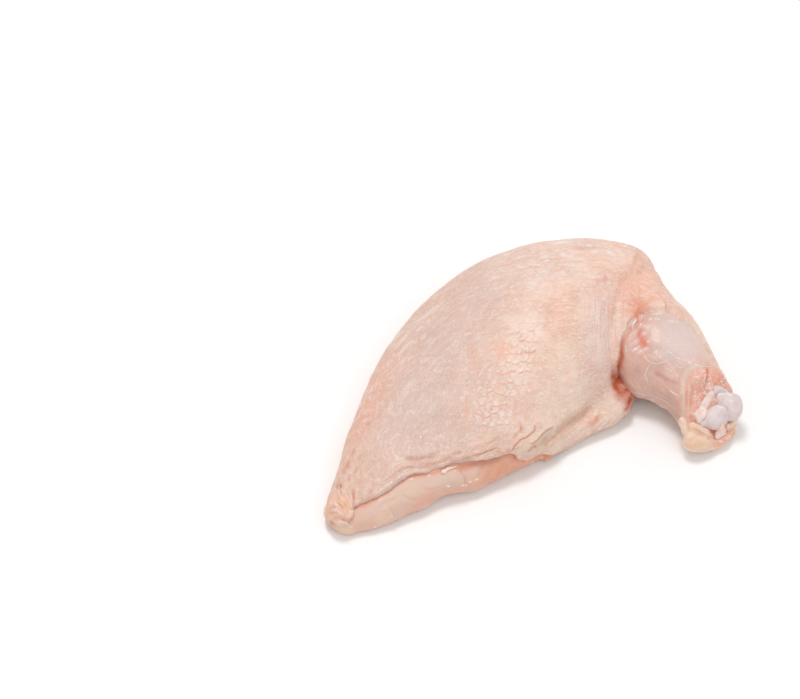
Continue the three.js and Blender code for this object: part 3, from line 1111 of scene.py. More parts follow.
# In all tables places are pixels of the picture, turns are degrees and other measures millimetres.
# A row of patches is a mark's name, a place, two reaches, a turn, a strength and how sharply the
# patch ends. A row of folds is a path, a width, a height, a stain, the share of the path over which
# it fades, and the side that lies over. A row of furrows is a path, a width, a depth, a lip and a
# stain. A row of lines is a mark's name, a path, a width and a strength.
EDGE_OVER_MEAT = [(353, 505), (366, 502), (373, 497), (381, 492), (389, 486), (397, 480),
    (406, 475.5), (415, 473), (426, 472), (433, 470.5), (441, 468), (449, 466), (455, 465.5),
    (462, 463), (473, 461), (482, 459.5), (490, 457), (496, 454.5), (504, 454), (511, 451)]
# Skin that reaches further over the meat: where it gathers over the strip's end, and over the
# wing's root.
GATHERED_LOBE = [(498, 436), (505, 447), (511, 450), (511, 455.5), (515.5, 460), (521, 462.3),
    (527, 462.3), (533.6, 458.6), (539, 456.3), (545, 456), (551.5, 455.5), (558, 449), (560, 436),
    (545, 418), (515, 418)]
ROOT_WALL = [(600, 303), (622, 302), (637, 307), (640, 311.5), (636, 314.5), (631.5, 318),
    (629, 323), (628.2, 329), (625.5, 335), (623.2, 341.5), (621.8, 351), (622, 356),
    (620.2, 363.5), (618.4, 368.6), (615, 374.5), (613.4, 381.8), (610, 389), (600, 390),
    (597, 350)]
ARMPIT_CREASE = [(628, 322), (628.2, 329), (625.5, 335.5), (622.8, 341.5), (621.5, 351), (622, 356),
    (619.8, 363.5), (617.8, 368.6), (614.7, 374.5), (613.2, 381.8), (613.9, 387.7)]
# A roll that ties the skin to the meat in the armpit: place and height over each of them.
TIE_ON_SKIN = [(612, 383, -1.0), (613, 389, -1.0)]
TIE_ON_MEAT = [(627, 392.5, -1.0), (631.5, 394, -1.7)]
TIE_RADII = [1.6, 2.0, 1.7, 0.9]
# Where the skin's faces are cut smaller: path and reach.
SKIN_DETAIL = [
    (EDGE_OVER_MEAT, 3.5),
    ([(341, 497), (339, 517)], 6.5),
    ([(516, 452), (545, 436), (580, 414)], 8.0),
]

# Where the whole joint is eased into its real outline: place, reach, and right, up and near.
EASED = [
    (682, 300, 5.0, -1.7, -1.1, 0.0),
    (644, 250, 8.0, 0.6, 0.9, 0.0),
    (590, 242, 14.0, 0.0, 0.7, 0.0),
    (530, 246, 12.0, 0.0, 0.7, 0.0),
    (652, 269, 4.5, 1.3, 0.3, 0.0),
    (669, 287, 4.5, -1.3, -0.7, 0.0),
    (706, 342, 8.0, 0.5, 0.2, 0.0),
    (688, 313, 4.0, -0.5, -0.5, 0.0),
    (352, 416, 10.0, 0.8, -0.2, 0.0),
    (655, 406, 5.0, 0.2, 1.0, 0.0),
    (670, 416, 4.5, 0.4, 1.6, 0.0),
    (338, 478, 14.0, 1.4, -0.3, 0.0),
    (327, 512, 5.0, 1.3, 0.0, 0.0),
]
# The flap in front of the armpit alone.
FLAP_EASED = [
    (560, 447, 4.5, 0.2, 0.0, 2.6),
    (576, 441, 6.0, 0.0, 0.0, 1.8),
    (598, 430, 7.5, 0.0, 0.0, 1.7),
    (618, 421, 5.0, 0.5, 0.0, 2.2),
    (630, 405, 4.0, 0.9, 0.0, 0.6),
    (671, 417, 4.0, 0.2, 0.8, 0.0),
    (681, 431, 4.0, 1.4, 0.7, 0.0),
]
# The skin's edge over the meat and over the wing.
EDGE_EASED = [
    (428, 463, 5.5, 0.4, -1.6, 0.0), (430, 467, 4.0, 0.0, -1.6, 0.0),
    (446, 464, 4.0, 0.0, -1.6, 0.0), (458, 461.5, 3.0, 0.0, -0.5, 0.0),
    (474, 461, 3.0, 0.0, 0.6, 0.0), (652, 316, 4.5, 0.0, 2.2, 0.0), (674, 316, 4.5, 0.3, 1.9, 0.0),
]
FLAP_CORNER = (621, 403, 8.0, 7.0, 20)
CORNER_EASED = [
    (619, 408, 4.6, 2.3, 0.1, 0.0),
    (634, 396.5, 1.7, -1.1, 0.0, 0.0),
    (629, 411, 2.0, 0.9, 0.0, 0.0),
]
KNOT = (339, 507, 6.0, 6.8, 70)


def ease(clay, places):
    """Drags places into the object's real outline."""
    for place in places:
        clay.drag(*place)
    clay.look()


def shape_skin(under, flesh):
    """The skin's mesh, with the tie in the armpit and the parts that reach further over the meat."""
    bare_skin = tree_of(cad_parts["skin"])
    tie = [spot_on(bare_skin, *place)[0] for place in TIE_ON_SKIN]
    tie += [spot_on(flesh, *place)[0] for place in TIE_ON_MEAT]
    piece = blank("skin", "raw_skin", 0.79, 14, [
        strand("armpit_tie", tie, TIE_RADII),
        laid("gathered_lobe", GATHERED_LOBE, flesh, 1.3),
        laid("root_wall", ROOT_WALL, flesh, 1.5),
    ])
    finer(piece, SKIN_DETAIL)
    clay = Clay(piece, under)
    ease(clay, EASED + FLAP_EASED + EDGE_EASED)
    clay.relax(np.exp(-clay.around(*FLAP_CORNER) ** 4), 60)
    ease(clay, CORNER_EASED)
    return clay


SKIN_TURNS_ABOUT = (570, 500)
TOP_FOLDS = (585, 262, 24, 9)
TOP_PAINTED_LIGHT = (575, 262, 32, 8)
# The white licks along the top, which are painted highlights, and the small warm stains that lie about.
HIGHLIGHT_LICKS = [
    [(577, 246.8), (586, 246), (597, 247.4)],
    [(552, 244), (560, 242.6), (570, 242)],
    [(601, 251), (609, 252), (615, 254.5)],
    [(560, 255), (566, 254)],
    [(540, 258), (550, 256)],
]
STAIN_SPOTS = [
    ("stain", 347.4, 464.5, 0.7, 1.9, -25, 0.5, 2), ("stain", 360, 457.5, 0.6, 1.2, -15, 0.4, 2),
    ("stain", 352.9, 452.8, 0.7, 1.6, -25, 0.4, 2), ("stain", 343.5, 471, 0.6, 1.4, -20, 0.45, 2),
    ("stain", 340.3, 486.5, 0.8, 1.4, 10, 0.6, 2), ("stain", 368.5, 424, 0.9, 1.5, -10, 0.3, 2),
    ("stain", 370, 492, 0.6, 1.6, -35, 0.4, 2), ("stain", 356, 470, 0.5, 1.4, -20, 0.35, 2),
    ("stain", 349, 478, 0.5, 1.2, -15, 0.4, 2), ("stain", 583, 248.7, 4.0, 0.9, 3, 0.3, 2),
    ("stain", 604, 279.5, 1.4, 0.9, 0, 0.4, 2), ("stain", 575, 297, 2.0, 3.0, 0, 0.16, 2),
    ("stain", 548, 318, 2.0, 4.5, 0, 0.16, 2), ("stain", 636, 258, 1.0, 3.0, -20, 0.25, 2),
    ("stain", 640, 272, 1.2, 2.4, -20, 0.22, 2),
]


def skin_grain(clay):
    """Along the skin's creases, across them, and the depth in the picture."""
    turn = clay.picture - SKIN_TURNS_ABOUT
    across = np.hypot(turn[:, 0], turn[:, 1]) / PX_PER_MM
    around = (np.arctan2(-turn[:, 1], turn[:, 0]) + math.pi / 4) % (2 * math.pi) * 90
    return np.stack([around, across, (clay.points - EYE) @ BACK], 1)


def fold_skin(clay, grain, knot):
    """Slow swells of the meat under the skin, long creases along the keel side and small puckers."""
    x, y = clay.picture.T
    across = grain[:, 1]
    clay.push(0.55 * rough(clay.points / 17, 2, 1) + 0.18 * rough(grain / (11, 2.6, 6), 2, 2)
              + 0.14 * rough(clay.points / 3.4, 2, 3), everywhere=True)
    clay.push(np.exp(-clay.around(*TOP_FOLDS) ** 2) * 0.35 * rough(grain / (9, 1.7, 5), 2, 7))
    keel_side = step(0, 60, 470 - x) * np.exp(-((across - 88) / 16) ** 2) * (1 - knot)
    ridges = rough(grain / (16, 1.25, 7), 2, 8)
    clay.push(keel_side * 0.45 * ridges)
    clay.mark("white", keel_side * 0.6 * step(0.1, 0.5, ridges) * step(420, 370, y))
    # Painted light: the top, which faces the lamps, is whitened a little.
    clay.mark("white", 0.2 * np.exp(-clay.around(*TOP_PAINTED_LIGHT) ** 4)
              * step(-0.3, 0.4, rough(grain / (10, 2.0, 6), 2, 6)))
    clay.mark("tight", 0.6 * keel_side * np.exp(-((across - 92) / 9) ** 2) * step(450, 400, y))
    clay.mark("tight", 0.15 * keel_side * step(380, 440, y))
    # Painted highlights: white licks along the top.
    for path in HIGHLIGHT_LICKS:
        clay.streak("white", path, 0.55)
    clay.patches(STAIN_SPOTS)


EDGE_FOLDS = [
    ([(404, 457.6), (415, 458.4), (427, 456), (439.4, 453)], 2.0, 0.9, 0.5),
    ([(392, 474), (406, 467.5), (422, 465.5), (440, 462), (452, 458)], 1.6, 0.7, 0.3),
    ([(446, 464), (458, 460), (470, 456.5), (484, 452), (498, 446)], 1.6, 0.6, 0.35),
    ([(430, 462), (446, 457), (464, 451)], 1.5, 0.5, 0.2),
    ([(470, 450), (486, 444), (500, 436)], 1.5, 0.45, 0.2),
]


def wrinkle_edge(clay, knot):
    """The edge over the meat: thin, wavy and lifted, with low wrinkles behind it."""
    gap, side, share = clay.beside(EDGE_OVER_MEAT)
    clay.push(0.35 * np.exp(-(gap / 1.5) ** 2) * (0.6 + rough(clay.points / 4, 2, 11)))
    behind = np.exp(-((gap - 3.5) / 4.5) ** 2) * (1 - knot)
    clay.push(behind * 0.5 * rough_over(share * 26, gap / 1.3, 3, 12))
    clay.mark("white", 0.4 * np.exp(-(gap / 0.8) ** 2))
    clay.mark("hemmed", np.exp(-(gap / 7) ** 2) * (side > 0) * step(0.0, 0.05, share))
    # Painted shade: the skin is darkened near its edge over the meat and over the left half.
    clay.mark("shaded", 0.95 * np.exp(-(gap / 9) ** 2))
    clay.mark("shaded", 0.88 * step(552, 455, clay.picture[:, 0]))
    for fold in EDGE_FOLDS:
        clay.overlap(*fold)
    hem = np.stack([share * 75, gap, gap * 0], 1)
    hem[gap > 100] = 0
    return hem


ARMPIT_FOLDS = [
    ([(510.7, 450.4), (515.2, 444.1), (521.4, 438.8), (525.9, 437), (531.3, 432.5), (534.4, 430.3),
     (533.5, 424.5)], 1.1, 0.5, 1.0, 0.08, 1),
    ([(529.5, 444.1), (534.8, 441.4), (539.3, 437), (542.9, 432.5), (548.2, 428.9), (553.1, 426.3)],
     1.2, 0.75, 0.75, 0.12, 1),
    ([(545.5, 446.3), (550, 441.4), (554.5, 438.2), (559, 435.5)], 1.3, 0.8, 0.8, 0.12, -1),
]
ARMPIT_FURROWS = [
    ([(519.6, 421.8), (521.4, 428.9), (521.9, 433.4)], 0.5, 0.5, 0.2, 0.5),
    ([(556, 436), (562.5, 430.7), (567.9, 425.4), (575.9, 420), (582.1, 416.4), (589.3, 410.2),
     (592, 407)], 1.7, 1.3, 0.5, 0.3),
    ([(513, 441), (518, 434), (524, 428)], 0.6, 0.4, 0.2, 0.2),
    ([(528, 452), (533, 447), (537, 446)], 0.5, 0.45, 0.2, 0.4),
]
LOBE_BORDER = [(498, 452), (504, 453.5), (509.5, 450.5), (510, 455.5), (514.5, 460), (519, 462)]


def crease_skin(clay):
    """Creases where the skin gathers before the armpit, and the long valley above the flap."""
    for fold in ARMPIT_FOLDS:
        clay.overlap(*fold)
    for furrow in ARMPIT_FURROWS:
        clay.groove(*furrow)
    clay.line("fold", LOBE_BORDER, 0.5, 0.9)


KNOT_FURROWS = [
    ([(343.4, 491.4), (347.9, 495.9), (349.9, 500.8), (351.4, 505.8), (351.9, 511)], 0.5, 0.7, 0.3),
    ([(345.4, 500.8), (348.9, 504.8), (350.9, 508.8)], 0.45, 0.6, 0.6),
    ([(340, 490), (341.5, 495.9), (343.4, 500.8), (347.9, 506.8), (350, 514)], 0.5, 0.8, 0.4),
    ([(337.4, 495.9), (339.4, 499.9), (343.4, 503.8), (346.9, 508.8), (348.9, 516.8)], 0.55, 0.8, 0.7),
    ([(336.4, 497.9), (337.9, 503.8), (341.9, 507.8), (345.5, 513.3), (347.4, 518.8)], 0.55, 0.8, 0.5),
    ([(336.4, 506.8), (333.4, 508.6), (330.5, 511.8)], 0.6, 0.7, 0.5),
    ([(330, 504.8), (329.5, 510.8), (328, 516.8)], 0.6, 0.6, 0.4),
    ([(340.9, 484.9), (339.4, 487.9), (336, 489)], 0.7, 0.7, 0.8),
    ([(333.4, 519.8), (341.9, 519.3), (347.9, 520.7), (352, 517)], 0.8, 0.7, 0.6),
]
KNOT_SIDE = [(351.4, 487.5), (353.2, 494), (353.6, 500), (353.2, 506.5)]
KNOT_FOLDS = [
    [(338.5, 488), (340, 494), (343, 499), (346.5, 504), (348.5, 510), (350, 516)],
    [(341.5, 489), (346, 493.5), (349, 499), (350.8, 505), (352, 512), (350.6, 518)],
    [(347, 490.5), (350.6, 495), (352.2, 500), (352.6, 505)],
    [(336, 500), (338.5, 505), (343, 509), (346, 514)],
    [(327.5, 505), (326.5, 511), (327, 517)],
    [(332, 502), (331, 508), (329.5, 513), (330, 518)],
    [(333.5, 512.5), (338, 512), (342, 515.5), (344, 519)],
]
KNOT_YOLK = [
    [(342.5, 493), (346.5, 500), (349.6, 507), (349.4, 514)],
    [(327.4, 503), (329.4, 508), (328, 513)],
    [(338, 498), (342, 504), (346, 510)],
]
KNOT_FOOT = [(331, 513), (334.9, 510.5), (338.9, 511.5), (341.9, 514.8), (344.4, 518.3)]
KNOT_TOP = [(336.4, 484.9), (340.9, 489.9), (346, 494)]


def bunch_tip(clay, knot):
    """The bunched knot at the tip: pale folds with warm furrows between them."""
    clay.push(knot * 0.5)
    for path, width, depth, stain in KNOT_FURROWS:
        clay.groove(path, 0.85 * width, 0.75 * depth, 0.45 * depth, 0.4 * stain)
    clay.groove(KNOT_SIDE, 0.5, 0.8, 0.2, 0.9, ends=0.6)
    for path in KNOT_FOLDS:
        clay.ridge(path, 0.3, 0.3)
        clay.streak("white", path, 0.3, 0.55)
    for path in KNOT_YOLK:
        clay.streak("yolk", path, 0.4, 0.6)
    clay.ridge(KNOT_FOOT, 0.8, 0.9)
    clay.ridge(KNOT_TOP, 0.6, 0.7)
    # The knot takes the fat's colour, a little painted shade, and flush.
    for name, much in (("fat", 0.8), ("shaded", 0.3), ("flush", 0.5)):
        clay.mark(name, knot * much)


# Tight and flushed places, olive ones that are painted shade in the valley above the flap, and two dark
# ones, before the root is drawn in.
SKIN_PATCHES = [
    ("tight", 570, 257, 38, 8, 4, 1.0, 4), ("tight", 520, 275, 22, 8, 18, 0.6, 4),
    ("olive_shade", 549, 436, 7.0, 2.1, 40, 0.6, 4), ("olive_shade", 572, 421, 5.0, 1.8, 37, 0.2, 2),
    ("flush", 595, 420.5, 3.0, 1.4, 52, 1.0, 2), ("fold", 596, 420, 1.9, 0.9, 52, 0.35, 2),
    ("flap", 590, 428, 17, 5.5, 30, 1.0, 4), ("fold", 353.4, 504.5, 0.6, 1.3, 10, 1.0, 2),
    ("stain", 332.5, 522.5, 1.1, 0.9, -35, 0.45, 4),
]
ROOT_PIT = [(636.3, 317.5), (637.4, 313.4), (640.6, 311), (645, 311.6)]
ROOT_SMOOTHED = (656, 301.5, 4.6, 2.7)
ROOT_CENTRE = (637, 314)
ROOT_CREASE_ENDS = [(655, 296), (640, 288), (622, 298), (612, 310), (650, 300), (630, 290)]
ROOT_FOLD = [(657, 293), (660.9, 298.9), (664.6, 302.6), (666.5, 307), (670.4, 309.9), (678, 310.3)]


def draw_in_root(clay):
    """The wing's root: the pit that all the creases run to."""
    clay.groove(ROOT_PIT, 0.9, 0.7, 0.2, 0.9, ends=0)
    clay.relax(0.85 * np.exp(-clay.around(*ROOT_SMOOTHED) ** 4), 30)
    for end in ROOT_CREASE_ENDS:
        middle = ((ROOT_CENTRE[0] + end[0]) / 2, (ROOT_CENTRE[1] + end[1]) / 2 - 1.5)
        clay.groove([ROOT_CENTRE, middle, end], 0.6, 0.35, 0.15, 0.25)
    clay.overlap(ROOT_FOLD, 1.3, 1.0, 0.6, over=-1)


ROOT_PATCHES = [
    ("flush", 654, 303, 4.0, 4.0, 0, 0.35, 2), ("flush", 637.5, 306, 6.5, 6.5, 0, 1.0, 2),
    ("flush", 635, 289, 15, 15, 0, 0.7, 2), ("flush", 616, 345, 2.6, 12, 0, 0.6, 2),
    ("flush", 640, 261, 3.5, 8, -15, 0.45, 2), ("fold", 636.6, 314.5, 1.5, 2.2, 0, 0.95, 2),
    ("fold", 637, 309, 4.0, 3.2, 0, 0.35, 2), ("ribs", 606, 320, 8.5, 15, 6, 1.0, 4),
    ("flush", 367, 408, 6, 22, -28, 0.6, 2), ("flush", 503, 350, 3.6, 3.4, 30, 0.8, 2),
    ("flush", 560, 310, 6, 12, 0, 0.5, 2),
]
THIN_PLACES = [
    ("thin", 415, 405, 22, 17, 40, 0.8, 2), ("thin", 440, 350, 22, 14, 40, 0.7, 2),
    ("thin", 600, 352, 11, 20, 0, 0.4, 2), ("thin", 588, 396, 13, 8, 20, 0.4, 2),
    ("thin", 475, 300, 16, 9, 40, 0.6, 2), ("thin", 440, 440, 20, 7, 30, 0.6, 2),
    ("thin", 470, 385, 8, 14, 0, 0.4, 2), ("thin", 545, 275, 12, 5, 20, 0.3, 2),
]
FAT_PLACES = [
    ("fat", 570, 412, 14, 6, 30, 0.9, 2), ("fat", 560, 360, 7, 12, 0, 0.6, 2),
    ("fat", 575, 310, 10, 8, 0, 0.5, 2), ("fat", 610, 408, 10, 6, 30, 0.6, 2),
    ("fat", 560, 447, 5, 3, 30, 0.8, 2), ("fat", 700, 325, 4, 14, -30, 0.7, 2),
    ("fat", 525, 448, 5, 3, 30, 0.6, 2), ("fat", 705, 445, 12, 5, 0, 0.9, 2),
    ("fat", 684, 425, 4, 6, 0, 0.9, 2),
]
FLUSHED_CREASES = [
    [(473, 344), (474.5, 360), (475, 378)],
    [(466, 398), (467, 416), (466.5, 434)],
]
# Orange lines in the armpit, as path, width and strength, and orange patches there: stain and painted
# shade where the skin turns in.
ARMPIT_SHADE_STAINS = [
    ([(614, 384), (617, 389), (621, 394), (626, 398), (628, 403)], 1.2, 0.9),
    ([(614, 377), (618, 383.5), (624, 389.5), (630, 395.5)], 1.4, 1.0),
    ([(626, 398), (628, 405), (626.3, 409.3)], 0.9, 0.85),
]
ARMPIT_PATCHES = [
    ("flush", 622, 391, 3.4, 3.0, -30, 0.3, 4), ("stain", 622.5, 392.5, 3.3, 3.3, -30, 0.6, 4),
    ("stain", 615.6, 383.5, 0.9, 1.8, 23, 0.9, 2), ("stain", 621, 394, 0.8, 2.4, 27, 0.65, 2),
    ("stain", 626.5, 390.5, 0.8, 2.6, 36, 0.9, 2), ("stain", 627.6, 404.5, 0.8, 2.2, 3, 0.8, 2),
]
FLAP_BORDER = [(551.3, 455.7), (562.5, 449.9), (574, 443.7), (584.8, 437.4), (598.2, 431.6),
    (611.6, 426.3), (619.6, 422.7), (625, 418.2), (628.6, 412.9), (630.4, 407.5), (630.5, 398.6)]


def tint_skin(clay):
    """Flushed, thin and fatty places, and the orange stain and painted shade in the armpit, where the
    skin turns in.
    """
    clay.patches(ROOT_PATCHES + THIN_PLACES + FAT_PLACES)
    for path in FLUSHED_CREASES:
        clay.groove(path, 1.4, 0.15, 0.0, 0.3, mark="flush")
    # Painted shade: deep orange along the armpit crease and in the armpit, over its stain.
    gap, _, share = clay.beside(ARMPIT_CREASE)
    clay.mark("stain", 0.75 * np.exp(-(gap / 0.8) ** 2) * step(0.0, 0.6, share), everywhere=True)
    for path, width, much in ARMPIT_SHADE_STAINS:
        clay.line("stain", path, width, much, everywhere=True)
    clay.patches(ARMPIT_PATCHES, everywhere=True)
    clay.line("fold", FLAP_BORDER, 0.5, 0.3)


STEEP_EDGE = (437, 467, 9, 5)
BARE_BAND = [(630, 396), (645, 400), (658, 405), (668, 411), (679, 420)]
# Painted highlights: white streaks where the skin's edge lies on the wing: path and width.
WALL_HIGHLIGHTS = [
    ([(642, 312.5), (650, 310.8), (660, 310), (670, 310.4), (680, 312.6)], 0.6),
    ([(654, 313), (664, 312.2), (676, 313.4)], 0.45),
]


def lay_on_flesh(clay, flesh, rims):
    """The skin clings: its edges run out on the wing, and end in a soft lip over the breast's edge."""
    x, y = clay.picture.T
    over_wing = step(604, 620, x) * (1 - step(424, 432, y))
    height, spots, facing = clay.over(flesh)
    lobe = step(490, 506, x)
    target = (0.06 + 0.14 * lobe) * (1 - over_wing) - 0.8 * over_wing
    on_root = np.exp(-clay.beside(ARMPIT_CREASE)[0] / 1.6) * step(326, 345, y)
    target = np.maximum(target, 0.65 * on_root)
    narrow, middling, wide = rims
    steep = 0.6 * np.exp(-clay.around(*STEEP_EDGE) ** 4)
    middling = middling + (narrow - middling) * steep
    share = step(0.05, 0.75, narrow) * lobe + step(0.03, 0.6, middling) * (1 - lobe)
    share = share * (1 - over_wing) + step(0.02, 0.6, wide) * over_wing * (1 - on_root)
    share = np.maximum(share, step(0.05, 0.75, narrow) * on_root)
    outer = clay.turned > 0
    wanted = np.maximum(height, 0.3) * (1 - share) + target * share
    wanted = np.where(outer, wanted, -0.12 - 1.0 * over_wing)
    close = np.abs(height) < 4
    hold = np.where(outer, np.maximum(share, height < 0.3), share)
    hold = hold * close * step(-0.6, -0.2, facing @ BACK)
    clay.points += hold[:, None] * (spots + facing * wanted[:, None] - clay.points)
    clay.look()
    clay.relax(0.5 * share * close, 2)
    clay.mark("bare", share * over_wing * step(322, 345, y))
    # Painted shade: the warm fold colour along the skin's rim over the breast, where it lifts off the
    # meat.
    clay.mark("fold", 0.5 * step(0.35, 0.95, narrow) * (1 - over_wing) * (1 - lobe) * step(350, 356, x),
              everywhere=True)
    clay.mark("bare", np.exp(-(clay.beside(BARE_BAND)[0] / 3.0) ** 4), everywhere=True)
    # Painted highlights: broken white streaks on the rim over the wing.
    for path, width in WALL_HIGHLIGHTS:
        clay.broken_streak("white", path, width, 22, -0.5, 0.3, 14)


PIT_ROW_SPACING = 4.1
PIT_SPACING = 3.0
PIT_COLUMN = [(548, 300), (535, 330), (523, 350), (513, 372), (503, 390), (496, 406), (489, 422),
    (484, 432)]
PIT_SHOULDER = [(530, 268), (565, 268), (600, 280), (612, 300)]


def pit_field(clay):
    """Pit rows: how far across, how far down, and how strongly they show."""
    x = clay.picture[:, 0] / PX_PER_MM
    y = clay.picture[:, 1] / PX_PER_MM
    sway = rough_over(x / 14, y / 14, 2, 5)
    gap, _, share = clay.beside(PIT_COLUMN, 30)
    main = np.exp(-(gap / 8.0) ** 4) * (0.4 + 0.6 * step(0.1, 0.4, share))
    main = main * (1 - 0.8 * step(0.93, 1.0, share))
    main = np.maximum(main, 0.35 * np.exp(-(clay.beside(PIT_SHOULDER, 20)[0] / 8) ** 4))
    patchy = step(-0.5, 0.4, rough_over(x / 11, y / 11, 2, 9, 3.0))
    strength = main * (0.85 + 0.15 * patchy) * clay.front
    return np.stack([(x + 0.8 * sway) / PIT_SPACING, (y + 0.8 * sway) / PIT_ROW_SPACING, strength], 1)


def make_skin(under, flesh):
    """The skin: folded, creased and stained, and then laid on the meat."""
    clay = shape_skin(under, flesh)
    rims = clay.rim(9), clay.rim(22), clay.rim(44)
    knot = np.exp(-clay.around(*KNOT) ** 4)
    grain = skin_grain(clay)
    fold_skin(clay, grain, knot)
    hem = wrinkle_edge(clay, knot)
    crease_skin(clay)
    bunch_tip(clay, knot)
    clay.patches(SKIN_PATCHES)
    draw_in_root(clay)
    tint_skin(clay)
    lay_on_flesh(clay, flesh, rims)
    clay.write(grain=grain, pits=pit_field(clay), hem=hem)
    clay.piece.data.materials.append(skin_finish())
    return clay.piece


# ---------------------------------------------------------------- the meat

# The strip's lower border, in rows like those of EASED.
STRIP_EASED = [
    (350, 531, 4.5, 0.0, 0.0, 1.7),
    (373, 528, 4.5, 0.0, 0.0, 1.5),
    (390, 523, 4.5, 0.0, 0.0, 0.8),
    (412, 514, 4.5, 0.0, 0.6, 0.0),
    (441, 501, 5.0, 0.0, 1.8, 0.0),
    (455, 495, 4.0, 0.0, 0.8, 0.0),
    (477, 487, 4.5, 0.0, 0.0, 1.4),
    (506, 477, 4.5, 0.0, 1.1, 0.0),
    (519, 470, 4.0, 0.0, 0.8, 0.0),
]
# Ragged bits at the strip's end: place, two sizes and turn.
RAGS = [
    (543, 456, 2.6, 1.0, 20), (545.5, 461.2, 1.0, 1.8, 5), (549, 457.5, 1.3, 0.8, 40),
    (551, 455.5, 1.2, 0.7, 0), (536, 458.5, 2.2, 0.8, 25), (541, 459, 1.0, 0.6, 10),
]
MEAT_DETAIL = [([(447, 486), (462, 484.5), (477, 479)], 2.0)]
# The long pale lobe and the small lobes after it: place, two reaches, height and turn.
MEAT_SWELLS = [
    (405, 492, 22, 4.6, 0.45, 27), (455, 477, 4.0, 3.4, 1.1, 10), (473, 472, 3.6, 2.4, 0.3, 20),
    (503, 470, 9, 5.0, 1.0, 30),
]
MEAT_FOLDS = [
    ([(454, 468.6), (459, 470.7), (462.3, 474.8), (464, 479.8), (463.2, 484.5)], 1.4, 0.8, 0.25, 0.12,
     -1),
    ([(386, 507.5), (390.5, 510), (393, 514.5), (391.5, 517)], 1.1, 0.6, 0.15, 0.12, -1),
]
MEAT_FURROWS = [
    ([(484, 463), (481, 470), (477, 478)], 0.8, 0.4, 0.2, 0.2),
    ([(380, 516), (400, 508), (420, 499), (436, 492), (448, 487), (463, 485)], 1.2, 0.12, 0.1, 0.1),
    ([(401, 495), (409, 499.5), (418, 500.5)], 0.7, 0.2, 0.15, 0.1),
    ([(421, 489), (431, 490), (440, 487)], 0.7, 0.2, 0.15, 0.1),
    ([(377, 508), (386, 503), (397, 499)], 0.7, 0.2, 0.15, 0.1),
]
BASE_BAND = [(360, 532), (374, 527), (395, 519), (425, 504), (455, 491), (480, 486)]
# The first pale patch, a small wedge at the strip's end, is a painted highlight; the other pale patches
# are the lobes' own tone.
MEAT_PATCHES = [
    ("pale", 501.5, 456.5, 2.6, 1.3, -25, 0.8, 2), ("orange", 503, 471, 11, 7.5, 30, 1.0, 4),
    ("fibrous", 500, 470, 9.5, 7.5, 30, 1.0, 4), ("orange", 534, 458, 9, 3.0, 22, 0.9, 4),
    ("fold", 546, 457, 3, 2.2, 0, 0.6, 2), ("pale", 405, 492, 23, 4.4, 27, 1.0, 4),
    ("pale", 457, 475, 3.6, 4, 10, 0.9, 4), ("pale", 473.5, 472, 3.6, 2.4, 20, 0.8, 4),
    ("fat", 343, 528, 4.5, 3.4, -30, 1.0, 4), ("fat", 383, 518, 4.0, 2.6, 40, 0.6, 4),
]
# Painted shade: the shade line, and the fold lines under the skin's edge, which also carry the meat's
# warm colour.
MEAT_LINES = [
    ("fold", [(352, 506.5), (366, 504), (381, 494.5), (397, 482.5), (406, 477.5), (415, 475)], 0.9,
     0.8),
    ("fold", [(410, 476), (426, 474.5), (441, 470.5), (456, 467.5)], 0.8, 0.8),
    ("shade", [(460, 467), (470, 465), (480, 462.5), (490, 459.5), (498, 456)], 1.4, 1.0),
    ("fold", [(460, 467), (470, 465), (480, 462.5), (490, 459.5), (498, 456)], 0.6, 0.7),
    ("fat", [(385, 508), (390, 511), (391.5, 515)], 0.8, 0.6),
    ("fold", [(498, 455.5), (504, 455.5), (511, 452.5), (516, 458.5), (524, 461)], 0.7, 0.8),
]
# Painted highlights, small wet glints on raised spots: place and two reaches.
MEAT_PAINTED_GLINTS = [
    (462.3, 484.6, 0.6, 0.45), (465.5, 485, 0.5, 0.35), (476.5, 479.3, 0.9, 0.3),
    (470, 481.5, 0.8, 0.3), (448, 485.8, 0.9, 0.35), (411, 479, 0.8, 0.3),
    (428.6, 475.6, 0.7, 0.3), (391.4, 516, 0.5, 0.5), (375.5, 527.5, 0.5, 0.3),
    (532, 461.5, 0.4, 0.25), (528, 465, 0.35, 0.25), (545.5, 463, 0.4, 0.5),
    (541, 457.5, 0.4, 0.25),
]


def make_breast():
    """The strip of breast meat, with its lobes, folds and warm band along the base."""
    bare_meat = tree_of(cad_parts["breast_meat"])
    rags = [pebble("rag", spot_on(bare_meat, x, y, 0.1)[0], (wide, high, 0.9), turn)
            for x, y, wide, high, turn in RAGS]
    piece = blank("breast_meat", "breast_flesh", 0.7, 12, rags)
    finer(piece, MEAT_DETAIL)
    clay = Clay(piece)
    ease(clay, STRIP_EASED)
    clay.roughen((0.3, 9, 31), (0.06, 2.6, 32))
    for swell in MEAT_SWELLS:
        clay.swell(*swell)
    for fold in MEAT_FOLDS:
        clay.overlap(*fold)
    for furrow in MEAT_FURROWS:
        clay.groove(*furrow)
    gap, _, share = clay.beside(BASE_BAND)
    clay.mark("orange", 0.45 * np.exp(-(gap / (0.6 + 2.1 * share)) ** 2) * step(0.1, 0.6, share))
    clay.patches(MEAT_PATCHES)
    for line in MEAT_LINES:
        clay.line(*line)
    # Painted highlights: small white glints, each on a low swell.
    for x, y, wide, high in MEAT_PAINTED_GLINTS:
        clay.mark("painted_glint", np.exp(-clay.around(x, y, 0.7 * wide, 0.75 * high) ** 2))
        clay.swell(x, y, wide, high, 0.12)
    x, y = clay.picture.T / PX_PER_MM
    clay.write(place=np.stack([x, -y, clay.points @ BACK], 1))
    piece.data.materials.append(breast_finish())
    return piece


